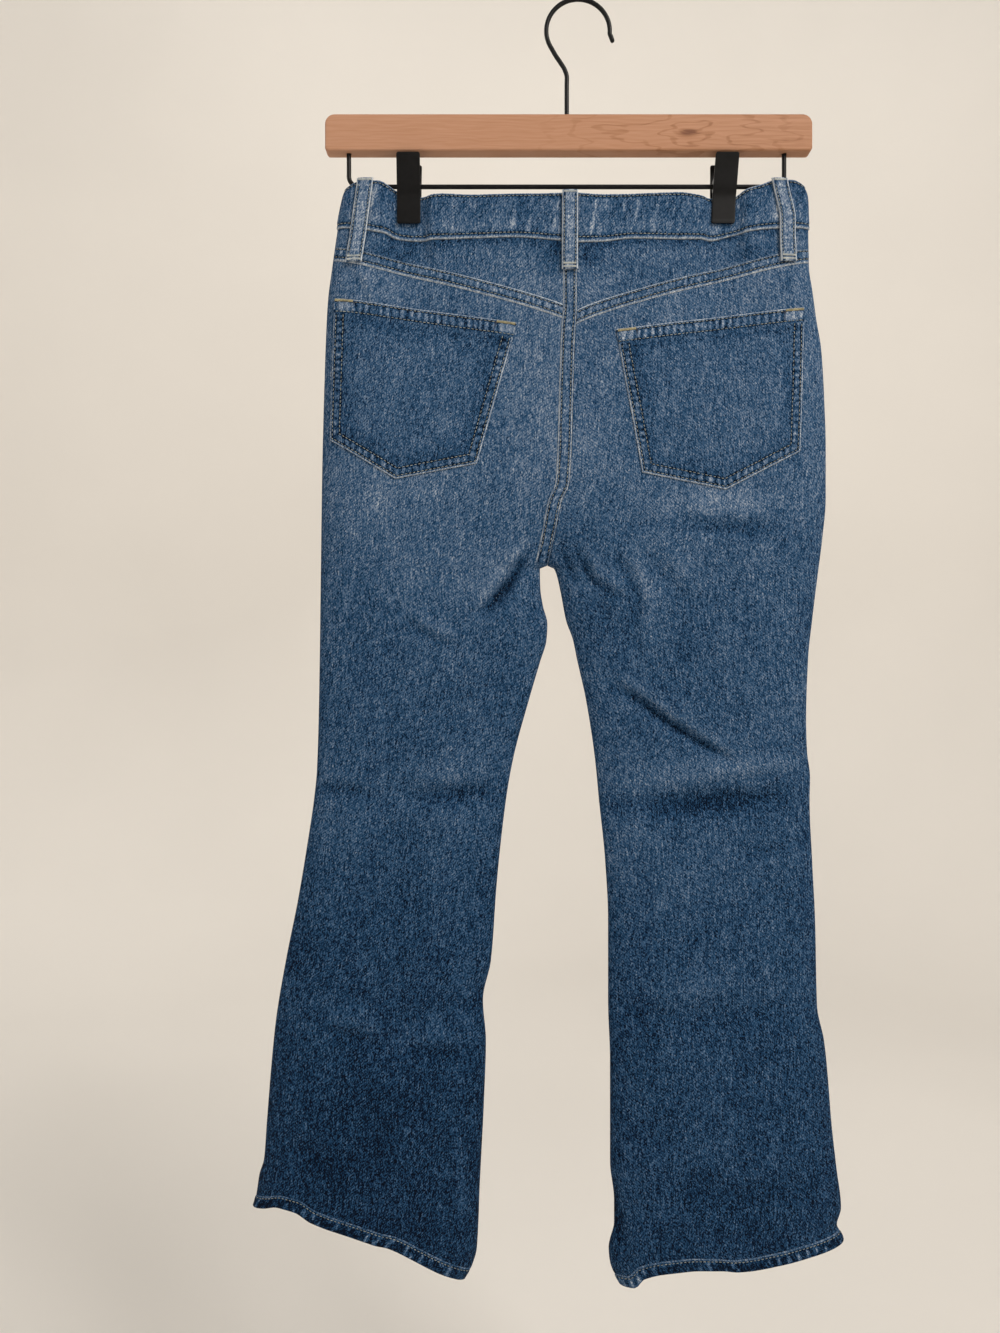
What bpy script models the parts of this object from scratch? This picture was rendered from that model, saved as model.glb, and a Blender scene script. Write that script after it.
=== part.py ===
"""Flared jeans, clipped by the waistband to a wooden bar hanger, seat side towards -Y.

The tables are in millimetres and MM turns them to metres. +Z is up. The origin is the inner top of the
hanger's hook, where a rail or a peg carries it. Left and right are the wearer's, so left is -X.
The cloth is one surface, garment(side, face, u, v): u runs from the side seam (0) to the centre seam or the
inseam (1), and v runs down the leg in steps of about 100 mm, 0 at the waistband's lower seam.
"""
import math

import bmesh
import bpy
import numpy as np
from mathutils import Matrix, Vector

MM = 0.001
GAP = 0.3                  # between pieces that meet
CLOTH = 1.5                # denim wall
SEAM_HALF = GAP / 2
WAIST_SEAM_HALF = 0.25
BAND_PROUD = 0.8           # waistband and hems stand out from the panels by this
BAND_WALL = 3.0            # waistband: two layers with their turnings
HEM_WALL = 2.8             # hem: three layers
HEM_PROUD = 0.4

# Hanger
BAR_LEFT, BAR_RIGHT = -193.8, 178.7
BAR_TOP, BAR_BOTTOM = -89.4, -117.6
BAR_DEEP = 12.6
BAR_TOP_CORNER, BAR_LOW_CORNER = 7.5, 3.0
BAR_SOFT_EDGE = 1.2
HOOK_WIRE = 3.46
HOOK_BEND = 24.4           # radius of the hook, to the middle of its wire
HOOK_CENTRE = -(HOOK_BEND - HOOK_WIRE / 2)
ROD_WIRE = 3.46
ROD_LEFT, ROD_RIGHT = -176.2, 158.5
ROD_Z = -142.6
ROD_BEND = 8.0
ROD_IN_BAR = 13.0
HOOK_STEM_X = -8.7
HOOK_IN_BAR = 22.3

# Clips
CLIP_X = {"left": -129.8, "right": 112.8}
CLIP_LEAN = {"left": 0.0, "right": -2.2}     # how far the jaws' foot leans along X
CLIP_WIDE = 17.9
CLIP_SHEET = 1.1
CLIP_TOP, CLIP_FOOT = -121.0, -172.7
GRIP_REACH = 15.0          # how far each side of a clip the pinch spreads
GRIP_X = {side: CLIP_X[side] + 0.8 * CLIP_LEAN[side] for side in CLIP_X}
GRIP_U = {"left": 0.287, "right": 0.366}
PINCH_HALF = 2.25          # half depth of the cloth between a clip's jaws
JAW_CORNER = 1.6
EAR_SIZE = (1.0, 9.4, 9.0)
EAR_REACH = 2.1            # the middle of an ear, off the rod's own plane
FRONT_EAR_IN, REAR_EAR_IN = 1.0, 2.3   # the ears stand this far inside the jaw's sides
LEAN_AT_ROD = 0.42         # part of a jaw's lean that it has at the rod
SPRING_WIRE, SPRING_TURNS, SPRING_LONG = 1.1, 4, 5.6
SPRING_COIL = ROD_WIRE / 2 + GAP + 0.65
SPRING_END = ((6.4, -134.5), (4.6, -138.6))    # its straight ends: distance from the rod's plane, and height

# Side and centre seams: height z and place x.
OUTSEAM = {
    "left": ((-141, -178.3), (-155, -181.2), (-172, -184.3), (-206, -189.2), (-230, -192.3), (-260, -193.9),
             (-306, -195.4), (-368, -196.9), (-430, -197.7), (-537, -199.2), (-591, -200.8), (-614, -203.1),
             (-645, -207.7), (-691, -215.4), (-737, -224.6), (-783, -232.3), (-822, -236.2), (-860, -239.2),
             (-891, -241.5), (-903, -245.0), (-918, -247.3), (-929, -249.8)),
    "right": ((-139, 173.1), (-150, 175.8), (-169, 176.9), (-205, 177.5), (-222, 180.0), (-245, 183.1),
              (-268, 186.9), (-306, 189.2), (-345, 190.4), (-383, 190.4), (-414, 187.7), (-445, 183.8),
              (-476, 180.0), (-506, 176.9), (-553, 175.4), (-576, 176.1), (-597, 178.5), (-614, 178.1),
              (-660, 180.0), (-706, 182.3), (-772, 183.8), (-799, 189.2), (-830, 192.3), (-860, 194.6),
              (-895, 198.5), (-926, 202.1), (-939, 198.8), (-947, 202.8), (-953.4, 203.8)),
}
CENTRE_SEAM = ((-139, -1.7), (-242, -1.7), (-257, -2.9), (-310, -4.8), (-332, -5.4), (-372, -7.5),
               (-388, -13.8), (-409, -18.0), (-434, -23.7))
INSEAM = {
    "left": ((-434, -23.7), (-438.5, -28.0), (-452, -28.5), (-465, -26.9), (-479, -23.5), (-491, -24.2),
             (-508, -29.2), (-537, -37.7), (-583, -50.0), (-614, -55.4), (-676, -62.3), (-737, -66.9),
             (-768, -73.1), (-799, -70.8), (-845, -72.3), (-906, -75.4), (-956, -77.7), (-970, -81.5),
             (-982, -87.7)),
    "right": ((-434, -23.7), (-438.5, -17.0), (-452, -13.9), (-476, -9.2), (-491, -3.9), (-506, -0.8),
              (-537, 6.1), (-583, 13.1), (-614, 16.1), (-660, 20.8), (-706, 23.1), (-768, 23.1),
              (-814, 24.6), (-891, 24.6), (-920, 27.7), (-937, 27.7), (-956, 23.5), (-965, 24.2),
              (-985.5, 32.0)),
}
CROTCH_Z = -434.0
CLOSE_TOP = -385.0         # where the seat starts to round under to the crotch

# Rows across the cloth. out and in are the heights at the side seam and at the centre seam or inseam, curl
# says how the row bends between them, bow lifts its middle, back and front are half depths, and edge says
# how blunt the fold at the side is.
ROW_COLUMNS = ("v", "left_out", "left_in", "right_out", "right_in", "curl",
               "left_bow", "right_bow", "back", "front", "edge")
ROWS = (
    (-0.35, -143.0, -150.5, -141.0, -150.5, 3.0, 0.0, 0.0, 6.2, 6.2, 13.0),    # waistband's top edge
    (0.00, -176.0, -188.5, -176.5, -188.9, 3.0, 0.0, 0.0, 6.8, 6.8, 12.0),     # waistband's lower seam
    (0.34, -190.6, -241.3, -192.1, -241.1, 0.8, 0.0, 0.0, 8.6, 8.0, 9.0),      # top of the yoke seam
    (0.45, -201.0, -252.0, -202.5, -252.0, 0.8, 0.0, 0.0, 9.2, 8.6, 8.0),      # foot of the yoke seam
    (1.05, -268.0, -302.0, -268.0, -302.0, 1.0, 0.0, 0.0, 12.0, 10.5, 6.0),    # hip
    (1.75, -350.0, -362.0, -350.0, -362.0, 1.0, 0.0, 0.0, 14.0, 12.0, 4.5),    # seat
    (2.20, -400.0, -404.0, -400.0, -404.0, 1.0, 0.0, 0.0, 14.0, 12.0, 4.0),
    (2.52, -434.0, -434.0, -434.0, -434.0, 1.0, 0.0, 0.0, 13.5, 12.0, 3.8),    # crotch
    (2.57, -438.5, -438.5, -438.5, -438.5, 1.0, 0.0, 0.0, 13.4, 12.0, 3.8),    # just below the crotch
    (2.70, -452.0, -452.0, -452.0, -452.0, 1.0, 0.0, 0.0, 13.2, 12.0, 3.7),
    (3.18, -500.0, -500.0, -500.0, -500.0, 1.0, 0.0, 0.0, 12.6, 11.6, 3.4),    # thigh
    (3.78, -560.0, -560.0, -560.0, -560.0, 1.0, 0.0, 0.0, 11.6, 11.0, 3.3),
    (4.32, -614.0, -614.0, -614.0, -614.0, 1.0, 0.0, 0.0, 11.0, 10.6, 3.3),    # knee
    (4.98, -680.0, -680.0, -680.0, -680.0, 1.0, 0.0, 0.0, 11.2, 11.0, 3.3),
    (5.86, -768.0, -768.0, -768.0, -768.0, 1.0, 0.0, 0.0, 12.6, 12.2, 3.3),    # calf
    (6.68, -850.0, -850.0, -850.0, -850.0, 1.0, 3.0, 0.5, 14.6, 14.0, 3.3),
    (7.66, -917.5, -970.5, -942.0, -974.0, 1.0, 9.0, 1.0, 17.0, 16.0, 3.3),    # top of the hem
    (7.78, -928.8, -981.8, -953.4, -985.5, 1.0, 9.0, 1.0, 17.3, 16.3, 3.3),    # hem's edge
)
V_BAND_TOP, V_YOKE_TOP, V_YOKE_FOOT, V_CROTCH = -0.35, 0.34, 0.45, 2.52
V_HEM_TOP, V_HEM = 7.66, 7.78
V_PER_MM = 0.01

# The waistband's two edges, scalloped where the clips pull it: u and heights at the back.
WAIST_COLUMNS = ("u", "left_top", "left_seam", "right_top", "right_seam")
WAIST = (
    (0.00, -145.5, -176.0, -143.5, -176.5),
    (0.06, -141.2, -177.2, -139.6, -176.9),
    (0.14, -140.4, -179.2, -140.3, -177.6),
    (0.20, -145.0, -181.2, -143.8, -178.3),
    (0.26, -150.0, -184.4, -147.0, -179.8),
    (0.33, -151.6, -185.5, -153.0, -181.6),
    (0.42, -150.3, -185.8, -152.6, -185.4),
    (0.55, -151.5, -185.3, -149.6, -186.0),
    (0.75, -150.9, -184.6, -150.9, -185.4),
    (0.90, -150.7, -186.8, -151.5, -188.3),
    (1.00, -150.5, -188.5, -150.5, -188.9),
)
FRONT_DROP = 16.0          # the front rise is lower than the back by this at the centre
WAIST_SLACK = 2.2          # the waist's layers stand apart by this much more at the centre

# Largest folds of the back and front: place x, z, slope in degrees, half length, half width, height.
FOLD_COLUMNS = ("x", "z", "slope", "length", "width", "height")
FOLDS = {
    "back": (
        (-58.0, -449.0, 53.0, 34.0, 7.0, -2.4),      # left of the crotch
        (8.0, -454.0, -55.0, 36.0, 7.0, -2.2),       # right of the crotch
        (71.0, -553.5, -33.0, 52.0, 7.0, -2.4),      # across the right thigh, down to the knee
        (74.0, -543.0, -33.0, 52.0, 8.0, 1.4),
        (94.0, -612.0, -6.0, 70.0, 13.0, -2.4),      # behind the right knee
        (-92.0, -607.0, 2.0, 60.0, 12.0, -1.6),      # behind the left knee
        (-126.0, -787.0, 18.0, 70.0, 14.0, -1.8),    # left calf
        (110.0, -770.0, 4.0, 60.0, 13.0, -1.6),      # right calf
    ),
    "front": (
        (-62.0, -452.0, 48.0, 36.0, 8.0, -2.2),
        (14.0, -450.0, -50.0, 34.0, 8.0, -2.2),
        (-112.0, -600.0, -8.0, 64.0, 13.0, -2.2),
        (98.0, -596.0, 10.0, 60.0, 13.0, -2.2),
        (-140.0, -760.0, 14.0, 60.0, 14.0, -1.8),
        (104.0, -790.0, -10.0, 62.0, 14.0, -1.8),
    ),
}

# Patch pockets: corners x, z in the order top outer, top inner, low inner, point, low outer.
POCKETS = {
    "left": ((-186.0, -231.1), (-47.2, -250.8), (-77.5, -358.2), (-139.1, -369.7), (-189.2, -339.3)),
    "right": ((171.4, -238.5), (28.0, -255.7), (47.6, -364.8), (110.8, -377.8), (167.3, -348.4)),
}
POCKET_BAND = 11.5         # the pocket's turned top
POCKET_BAND_PROUD = 0.6
POCKET_EASE = 0.45         # the pockets stand this far off the panels

# Belt loops: x and z of the middle line at the top, the kink and the foot.
LOOP_WIDE = 12.0
LOOP_CLOTH = 1.5
LOOPS = {
    "back_centre": ("back", (-6.7, -149.6), (-6.9, -180.0), (-7.0, -210.4)),
    "back_left": ("back", (-162.3, -139.6), (-166.5, -172.0), (-171.0, -204.5)),
    "back_right": ("back", (152.6, -139.6), (158.6, -167.5), (158.8, -203.9)),
    "front_left": ("front", (-80.0, -151.6), (-80.0, -182.0), (-80.0, -212.0)),
    "front_right": ("front", (74.0, -152.0), (74.0, -182.0), (74.0, -212.0)),
}
LOOP_BOW = 1.2             # how far a loop's middle stands off the waistband

# Centre front
SCOOP_U, SCOOP_V = 0.52, 0.85        # front pocket opening, as parts of the front panel
STRAP_WIDE, STRAP_PROUD = 10.0, 1.0  # felled seams
PANEL_WIDE = 180.0         # from a side seam to the centre
FLY_SLOT = 5.0             # each front panel stops short of the centre by this above the zip's foot
FLY_SLOT_V = 1.30
FLY_WIDE, FLY_LONG = 36.0, 132.0
FLY_LAP = 7.0
FLY_LIFT = 3.3             # the fly's top stands out as far as the lapped waistband end
LAP_EASE = 0.6             # between the waistband's lapped ends
BAND_LAP = 12.0            # the waistband's outer end passes the centre by this
BAND_UNDERLAP = 28.0
LAP_SLOPE = (0.07, 0.16, 0.26)       # u over which the outer end comes down past the inner one
LAP_HALF_WAY = 0.55                  # how high it still is at the second of them
SEAT_EDGE = 0.0009                   # the centre seam's half gap, as a part of the panel's width
ZIP_WIDE, ZIP_LONG = 26.0, 118.0
ZIP_TAPE = 0.9
ZIP_TEETH_WIDE, ZIP_TEETH_PROUD = 5.0, 1.5
ZIP_TEETH_SLOPE = 0.4
SLIDER_SIZE, SLIDER_TAB_SIZE = (8.0, 2.0, 9.0), (4.6, 0.9, 14.0)
SLIDER_PROUD, SLIDER_TAB_PROUD, SLIDER_TAB_DROP = 1.25, 0.95, 9.5
BUTTON_ACROSS, BUTTON_THICK, BUTTON_SHANK = 17.0, 3.0, 5.0
BUTTONHOLE_LONG, BUTTONHOLE_TALL, BUTTONHOLE_SHIFT = 17.0, 6.0, 3.0

DENIM = (0.082, 0.130, 0.205)
DENIM_DARK = (0.045, 0.080, 0.130)
WOOD = (0.53, 0.28, 0.15)
BLACK = (0.012, 0.012, 0.013)
STEEL = (0.45, 0.45, 0.46)
BRASS = (0.50, 0.36, 0.17)


def table_column(rows, names, name):
    """One named column of a table, as numbers."""
    return np.array([row[names.index(name)] for row in rows], dtype=float)


def smooth(t, xs, ys):
    """A smooth curve through the points (xs, ys), with no overshoot between them."""
    xs, ys = np.asarray(xs, float), np.asarray(ys, float)
    if xs[0] > xs[-1]:
        xs, ys = xs[::-1], ys[::-1]
    step = np.diff(xs)
    rise = np.diff(ys) / step
    same_way = rise[:-1] * rise[1:] > 0
    total = np.where(same_way, rise[:-1] + rise[1:], 1.0)
    slope = np.concatenate(([rise[0]], np.where(same_way, 2 * rise[:-1] * rise[1:] / total, 0.0), [rise[-1]]))
    t = np.clip(t, xs[0], xs[-1])
    i = np.clip(np.searchsorted(xs, t, side="right") - 1, 0, len(step) - 1)
    s = (t - xs[i]) / step[i]
    return ((1 + 2 * s) * (1 - s) ** 2 * ys[i] + s * (1 - s) ** 2 * step[i] * slope[i]
            + s * s * (3 - 2 * s) * ys[i + 1] - s * s * (1 - s) * step[i] * slope[i + 1])


def row_value(name, v):
    return smooth(v, table_column(ROWS, ROW_COLUMNS, "v"), table_column(ROWS, ROW_COLUMNS, name))


def waist_value(name, u):
    return smooth(u, table_column(WAIST, WAIST_COLUMNS, "u"), table_column(WAIST, WAIST_COLUMNS, name))


def along(curve, z):
    """x of a seam at height z."""
    heights, places = zip(*curve)
    return smooth(z, heights, places)


def inner_x(side, z):
    """x of the centre seam above the crotch, and of the inseam below it."""
    return np.where(z >= CROTCH_Z, along(CENTRE_SEAM, z), along(INSEAM[side], z))


def row_height(side, u, v):
    """Height of the back's row v at u."""
    z_out, z_in = row_value(side + "_out", v), row_value(side + "_in", v)
    z = z_in + (z_out - z_in) * (1 - u) ** row_value("curl", v) + 4 * row_value(side + "_bow", v) * u * (1 - u)
    plain_seam = row_value(side + "_in", 0.0) + (row_value(side + "_out", 0.0) - row_value(side + "_in", 0.0)) \
        * (1 - u) ** row_value("curl", 0.0)
    seam, top = waist_value(side + "_seam", u), waist_value(side + "_top", u)
    fade = np.clip(1 - v / V_YOKE_TOP, 0, 1) ** 2
    return np.where(v < 0, seam + (top - seam) * v / V_BAND_TOP, z + (seam - plain_seam) * fade)


def fold_depth(face, x, z):
    """How far the folds push the cloth out at a place."""
    depth = np.zeros_like(x)
    for fold_x, fold_z, slope, length, width, height in FOLDS[face]:
        c, s = math.cos(math.radians(slope)), math.sin(math.radians(slope))
        run = (x - fold_x) * c + (z - fold_z) * s
        across = (z - fold_z) * c - (x - fold_x) * s
        depth += height * np.exp(-(run / length) ** 2 - (across / width) ** 2)
    return depth


def garment(side, face, u, v):
    """Points of the cloth's outer face, in millimetres."""
    u, v = np.broadcast_arrays(np.asarray(u, float), np.asarray(v, float))
    z_out, z_in = row_value(side + "_out", v), row_value(side + "_in", v)
    x_out = along(OUTSEAM[side], z_out)
    x = x_out + (inner_x(side, z_in) - x_out) * u
    z = row_height(side, u, v)
    if face == "front":
        z = z - FRONT_DROP * u ** 2 * np.clip(1 - v / V_CROTCH, 0, 1) ** 1.5
    half = row_value(face, v) + WAIST_SLACK * u ** 2 * np.clip(1 - v, 0, 1)
    reach = GRIP_REACH * (1 + np.clip(v, 0, 1.2))
    steep = 2 + 6 * np.clip(1 - v / 0.3, 0, 1)
    pinch = np.exp(-(np.abs(x - GRIP_X[side]) / reach) ** steep) * np.clip(1 - v / 1.2, 0, 1) ** 2
    half = half + (PINCH_HALF - half) * pinch
    edge = row_value("edge", v)
    closed = np.clip((CLOSE_TOP - z_in) / (CLOSE_TOP - CROTCH_Z), 0, 1) ** 2
    shape = np.sqrt(1 - np.clip(1 - 2 * u, 0, 1) ** edge) * np.sqrt(1 - closed * np.clip(2 * u - 1, 0, 1) ** edge)
    y = SEAM_HALF + (half + fold_depth(face, x, z)) * shape
    return np.stack([x, -y if face == "back" else y, z], axis=-1)


def outward(side, face, u, v):
    """Unit vectors out of the cloth. On a seam they lie in the seam's own plane, so the walls stay parallel."""
    u, v = np.broadcast_arrays(np.asarray(u, float), np.asarray(v, float))
    tiny = 1e-4
    across = garment(side, face, np.clip(u + tiny, 0, 1), v) - garment(side, face, np.clip(u - tiny, 0, 1), v)
    down = garment(side, face, u, v + tiny) - garment(side, face, u, v - tiny)
    n = np.cross(across, down) * (-1 if (side == "left") == (face == "back") else 1)
    on_side_seam = (u < 1e-6) | ((u > 0.999) & (v >= V_CROTCH))
    on_centre = (u > 0.999) & (v <= V_CROTCH)
    n[..., 1] = np.where(on_side_seam, 0, n[..., 1])
    n[..., 0] = np.where(on_centre, 0, n[..., 0])
    at_crotch = on_centre & (v >= V_CROTCH)
    n[at_crotch] = (0, 0, -1)
    return n / np.linalg.norm(n, axis=-1, keepdims=True)


def moved_out(side, face, u, v, lift):
    """Points that lie this far outside the cloth's outer face."""
    return garment(side, face, u, v) + outward(side, face, u, v) * np.asarray(lift)[..., None]


def locate(side, face, x, z):
    """The u and v at which the cloth passes a place x, z."""
    v = (-182.0 - z) * V_PER_MM
    u = np.full_like(x, 0.5)
    for _ in range(60):
        x_out = along(OUTSEAM[side], row_value(side + "_out", v))
        x_in = inner_x(side, row_value(side + "_in", v))
        u = np.clip((x - x_out) / (x_in - x_out), 0, 1)
        v = v + 0.6 * (garment(side, face, u, v)[..., 2] - z) * V_PER_MM
    return u, v


def on_cloth(side, face, x, z, lift):
    """Points at x, z, this far outside the cloth."""
    x, z = np.broadcast_arrays(np.asarray(x, float), np.asarray(z, float))
    u, v = locate(side, face, x, z)
    return moved_out(side, face, u, v, np.broadcast_to(lift, x.shape))


def on_either_side(face, x, z, lift):
    """The same, for a piece that crosses the centre."""
    x, z = np.broadcast_arrays(np.asarray(x, float), np.asarray(z, float))
    left = on_cloth("left", face, x, z, lift)
    right = on_cloth("right", face, x, z, lift)
    return np.where((x < along(CENTRE_SEAM, z))[..., None], left, right)


# ---------------------------------------------------------------- objects

def principled(name, colour, roughness=0.9, metallic=0.0):
    material = bpy.data.materials.new(name)
    material.use_nodes = True
    shader = material.node_tree.nodes["Principled BSDF"]
    shader.inputs["Base Color"].default_value = (*colour, 1)
    shader.inputs["Roughness"].default_value = roughness
    shader.inputs["Metallic"].default_value = metallic
    return material


def collection_named(name):
    collection = bpy.data.collections.new(name)
    bpy.context.scene.collection.children.link(collection)
    return collection


def add_mesh(name, points, faces, colour, roughness=0.9, metallic=0.0, into=None):
    """A mesh object from points in millimetres, its faces turned outwards."""
    mesh = bpy.data.meshes.new(name)
    mesh.from_pydata([tuple(p) for p in np.asarray(points) * MM], [], faces)
    shell = bmesh.new()
    shell.from_mesh(mesh)
    bmesh.ops.recalc_face_normals(shell, faces=shell.faces)
    shell.to_mesh(mesh)
    shell.free()
    mesh.materials.append(principled(name, colour, roughness, metallic))
    piece = bpy.data.objects.new(name, mesh)
    (into or PARTS).objects.link(piece)
    return piece


def wall(name, outer, inner, colour, ring=False):
    """A closed wall between two grids of points. A ring's last column meets its first."""
    rows, columns = outer.shape[:2]
    points = np.concatenate([outer.reshape(-1, 3), inner.reshape(-1, 3)])
    inner_start = rows * columns

    def index(i, j, layer):
        return layer * inner_start + i * columns + j % columns

    faces = []
    spans = columns if ring else columns - 1
    for j in range(spans):
        for i in range(rows - 1):
            for layer in (0, 1):
                quad = [index(i, j, layer), index(i, j + 1, layer),
                        index(i + 1, j + 1, layer), index(i + 1, j, layer)]
                faces.append(quad if layer == 0 else quad[::-1])
        for i, turn in ((0, 1), (rows - 1, -1)):
            rim = [index(i, j, 0), index(i, j, 1), index(i, j + 1, 1), index(i, j + 1, 0)]
            faces.append(rim[::turn])
    if not ring:
        for j, turn in ((0, -1), (columns - 1, 1)):
            for i in range(rows - 1):
                rim = [index(i, j, 0), index(i, j, 1), index(i + 1, j, 1), index(i + 1, j, 0)]
                faces.append(rim[::turn])
    return add_mesh(name, points, faces, colour)


def cloth_wall(name, side, face, u, v, top=0.0, thick=CLOTH, colour=DENIM):
    """A piece cut from the cloth itself: its outer face lies top outside the surface."""
    u, v = np.broadcast_arrays(u, v)
    top = np.broadcast_to(top, u.shape)
    return wall(name, moved_out(side, face, u, v, top), moved_out(side, face, u, v, top - thick), colour)


def cloth_columns(side):
    """The u of every piece's grid lines on one side, close together at the side seam, clip and inseam."""
    grip = GRIP_U[side]
    return np.concatenate([(0, 0.01, 0.035), np.linspace(0.08, grip - 0.085, 3),
                           (grip - 0.056, grip, grip + 0.056, grip + 0.085),
                           (0.54, 0.66, 0.78, 0.88, 0.95, 0.975, 0.993, 1)])


def seat_columns(side, v):
    """Grid of u: above the crotch the last column stops half a seam gap short of the centre."""
    grid_u, grid_v = np.meshgrid(cloth_columns(side), v)
    return np.where((grid_u > 0.999) & (grid_v <= V_CROTCH), 1 - SEAT_EDGE, grid_u), grid_v


def make_panels():
    half = SEAM_HALF * V_PER_MM
    top = WAIST_SEAM_HALF * V_PER_MM
    seam_v = (V_YOKE_TOP + V_YOKE_FOOT) / 2
    yoke_rows = np.array([top, 0.12, 0.23, V_YOKE_TOP, seam_v - half])
    back_rows = np.array([seam_v + half, V_YOKE_FOOT, 0.62, 0.85, 1.15, 1.45, 1.75, 2.05, 2.35, V_CROTCH, 2.57, 2.7,
                          3.0, 3.4, 3.75, 4.05, 4.35, 4.8, 5.4, 5.95, 6.5, 7.1, V_HEM_TOP - half])
    scoop_rows = SCOOP_V * np.array([0, 0.25, 0.5, 0.7, 0.84, 0.93, 0.97, 0.99, 1])
    front_rows = np.array([1.05, FLY_SLOT_V, FLY_SLOT_V + 0.02, 1.75, 2.1, 2.35, V_CROTCH, 2.57, 2.7, 3.0, 3.4,
                           3.8, 4.1, 4.4, 4.9, 5.5, 6.0, 6.6, 7.15, V_HEM_TOP - half])
    front_rows = np.concatenate([[top], scoop_rows[1:], front_rows])
    for side in ("left", "right"):
        cloth_wall("yoke_" + side, side, "back", *seat_columns(side, yoke_rows))
        cloth_wall("back_panel_" + side, side, "back", *seat_columns(side, back_rows))
        make_front_panel(side, front_rows)


def make_front_panel(side, rows):
    """The front's top outer corner is scooped out for the pocket, and its centre edge is cut back at the zip."""
    u, v = seat_columns(side, rows)
    scoop = SCOOP_U * np.clip(1 - (v / SCOOP_V) ** 2, 0, 1)
    end = np.where(v <= FLY_SLOT_V, 1 - FLY_SLOT / PANEL_WIDE, 1.0)
    cloth_wall("front_panel_" + side, side, "front", scoop + (end - scoop) * u, v)
    hip_v = rows[rows <= SCOOP_V]
    hip_u = np.array([0, 0.02, 0.08, 0.2, 0.35, 0.5, 0.63, 0.75, 0.86, 0.92, 1.0])
    grid_u, grid_v = np.meshgrid(hip_u, hip_v)
    edge = SCOOP_U * np.clip(1 - (grid_v / SCOOP_V) ** 2, 0, 1)
    grid_u = (edge + 0.06) * grid_u
    flush = np.clip((edge - grid_u - 0.012) / 0.04, 0, 1)
    cloth_wall("hip_piece_" + side, side, "front", grid_u, grid_v, top=-(CLOTH + 2 * GAP) * (1 - flush))


def ring_points(side, u, v, lift):
    """Both faces of one leg as a closed ring: down the back from side seam to inseam, and back up the front."""
    back = moved_out(side, "back", *np.meshgrid(u, v), np.full((len(v), len(u)), lift))
    front = moved_out(side, "front", *np.meshgrid(u[-2:0:-1], v), np.full((len(v), len(u) - 2), lift))
    back[:, (0, -1), 1] = 0.0
    return np.concatenate([back, front], axis=1)


def make_hems():
    v = np.array([V_HEM_TOP + SEAM_HALF * V_PER_MM, V_HEM_TOP + 0.03, V_HEM])
    for side in ("left", "right"):
        u = cloth_columns(side)
        outer = ring_points(side, u, v, HEM_PROUD)
        inner = ring_points(side, u, v, HEM_PROUD - HEM_WALL)
        wall("hem_" + side, outer, inner, DENIM_DARK, ring=True)


def make_felled_seams():
    """Raised straps over the centre-back seam and the yoke seams."""
    top = GAP + STRAP_PROUD
    centre_v = np.array([0.004, 0.12, 0.23, V_YOKE_TOP, V_YOKE_FOOT, 0.62, 0.85, 1.15, 1.45, 1.75, 2.05, 2.35])
    across = np.array([1 - STRAP_WIDE / PANEL_WIDE, 0.975, 0.993, 1 - SEAT_EDGE])
    cloth_wall("seat_seam", "left", "back", *np.meshgrid(across, centre_v), top=top, thick=STRAP_PROUD)
    seam_v = (V_YOKE_TOP + V_YOKE_FOOT) / 2
    yoke_v = np.array([V_YOKE_TOP, seam_v, V_YOKE_FOOT])
    for side in ("left", "right"):
        end = 1 - (STRAP_WIDE + GAP) / PANEL_WIDE if side == "left" else 1 - SEAT_EDGE
        u = cloth_columns(side)
        u = np.append(u[(u > 0.009) & (u < end - 0.002)], end)
        cloth_wall("yoke_seam_" + side, side, "back", *np.meshgrid(u, yoke_v), top=top, thick=STRAP_PROUD)


def make_pockets():
    for side, corners in POCKETS.items():
        top_out, top_in, low_in, point, low_out = (np.array(c) for c in corners)
        across = np.array([0, 0.06, 0.15, 0.28, 0.42, 0.55, 0.68, 0.8, 0.9, 1.0])
        side_long = np.linalg.norm(low_in - top_in)
        band = POCKET_BAND / side_long
        down = np.array([0, band, band + 0.012, 0.3, 0.48, 0.66, 0.83, 1.0])
        proud = np.where(down <= band + 1e-6, POCKET_BAND_PROUD, 0.0)
        point_at = (point[0] - low_out[0]) / (low_in[0] - low_out[0])
        across = np.sort(np.append(across[np.abs(across - point_at) > 0.05], point_at))
        top = top_out + (top_in - top_out) * across[:, None]
        low = np.stack([np.interp(across, (0, point_at, 1), (low_out[i], point[i], low_in[i]))
                        for i in (0, 1)], axis=-1)
        place = top[None] + (low - top)[None] * down[:, None, None]
        lift = np.broadcast_to((POCKET_EASE + CLOTH + proud)[:, None], place.shape[:2])
        outer = on_cloth(side, "back", place[..., 0], place[..., 1], lift)
        inner = on_cloth(side, "back", place[..., 0], place[..., 1], np.full(place.shape[:2], POCKET_EASE))
        wall("back_pocket_" + side, outer, inner, DENIM_DARK)


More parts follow.
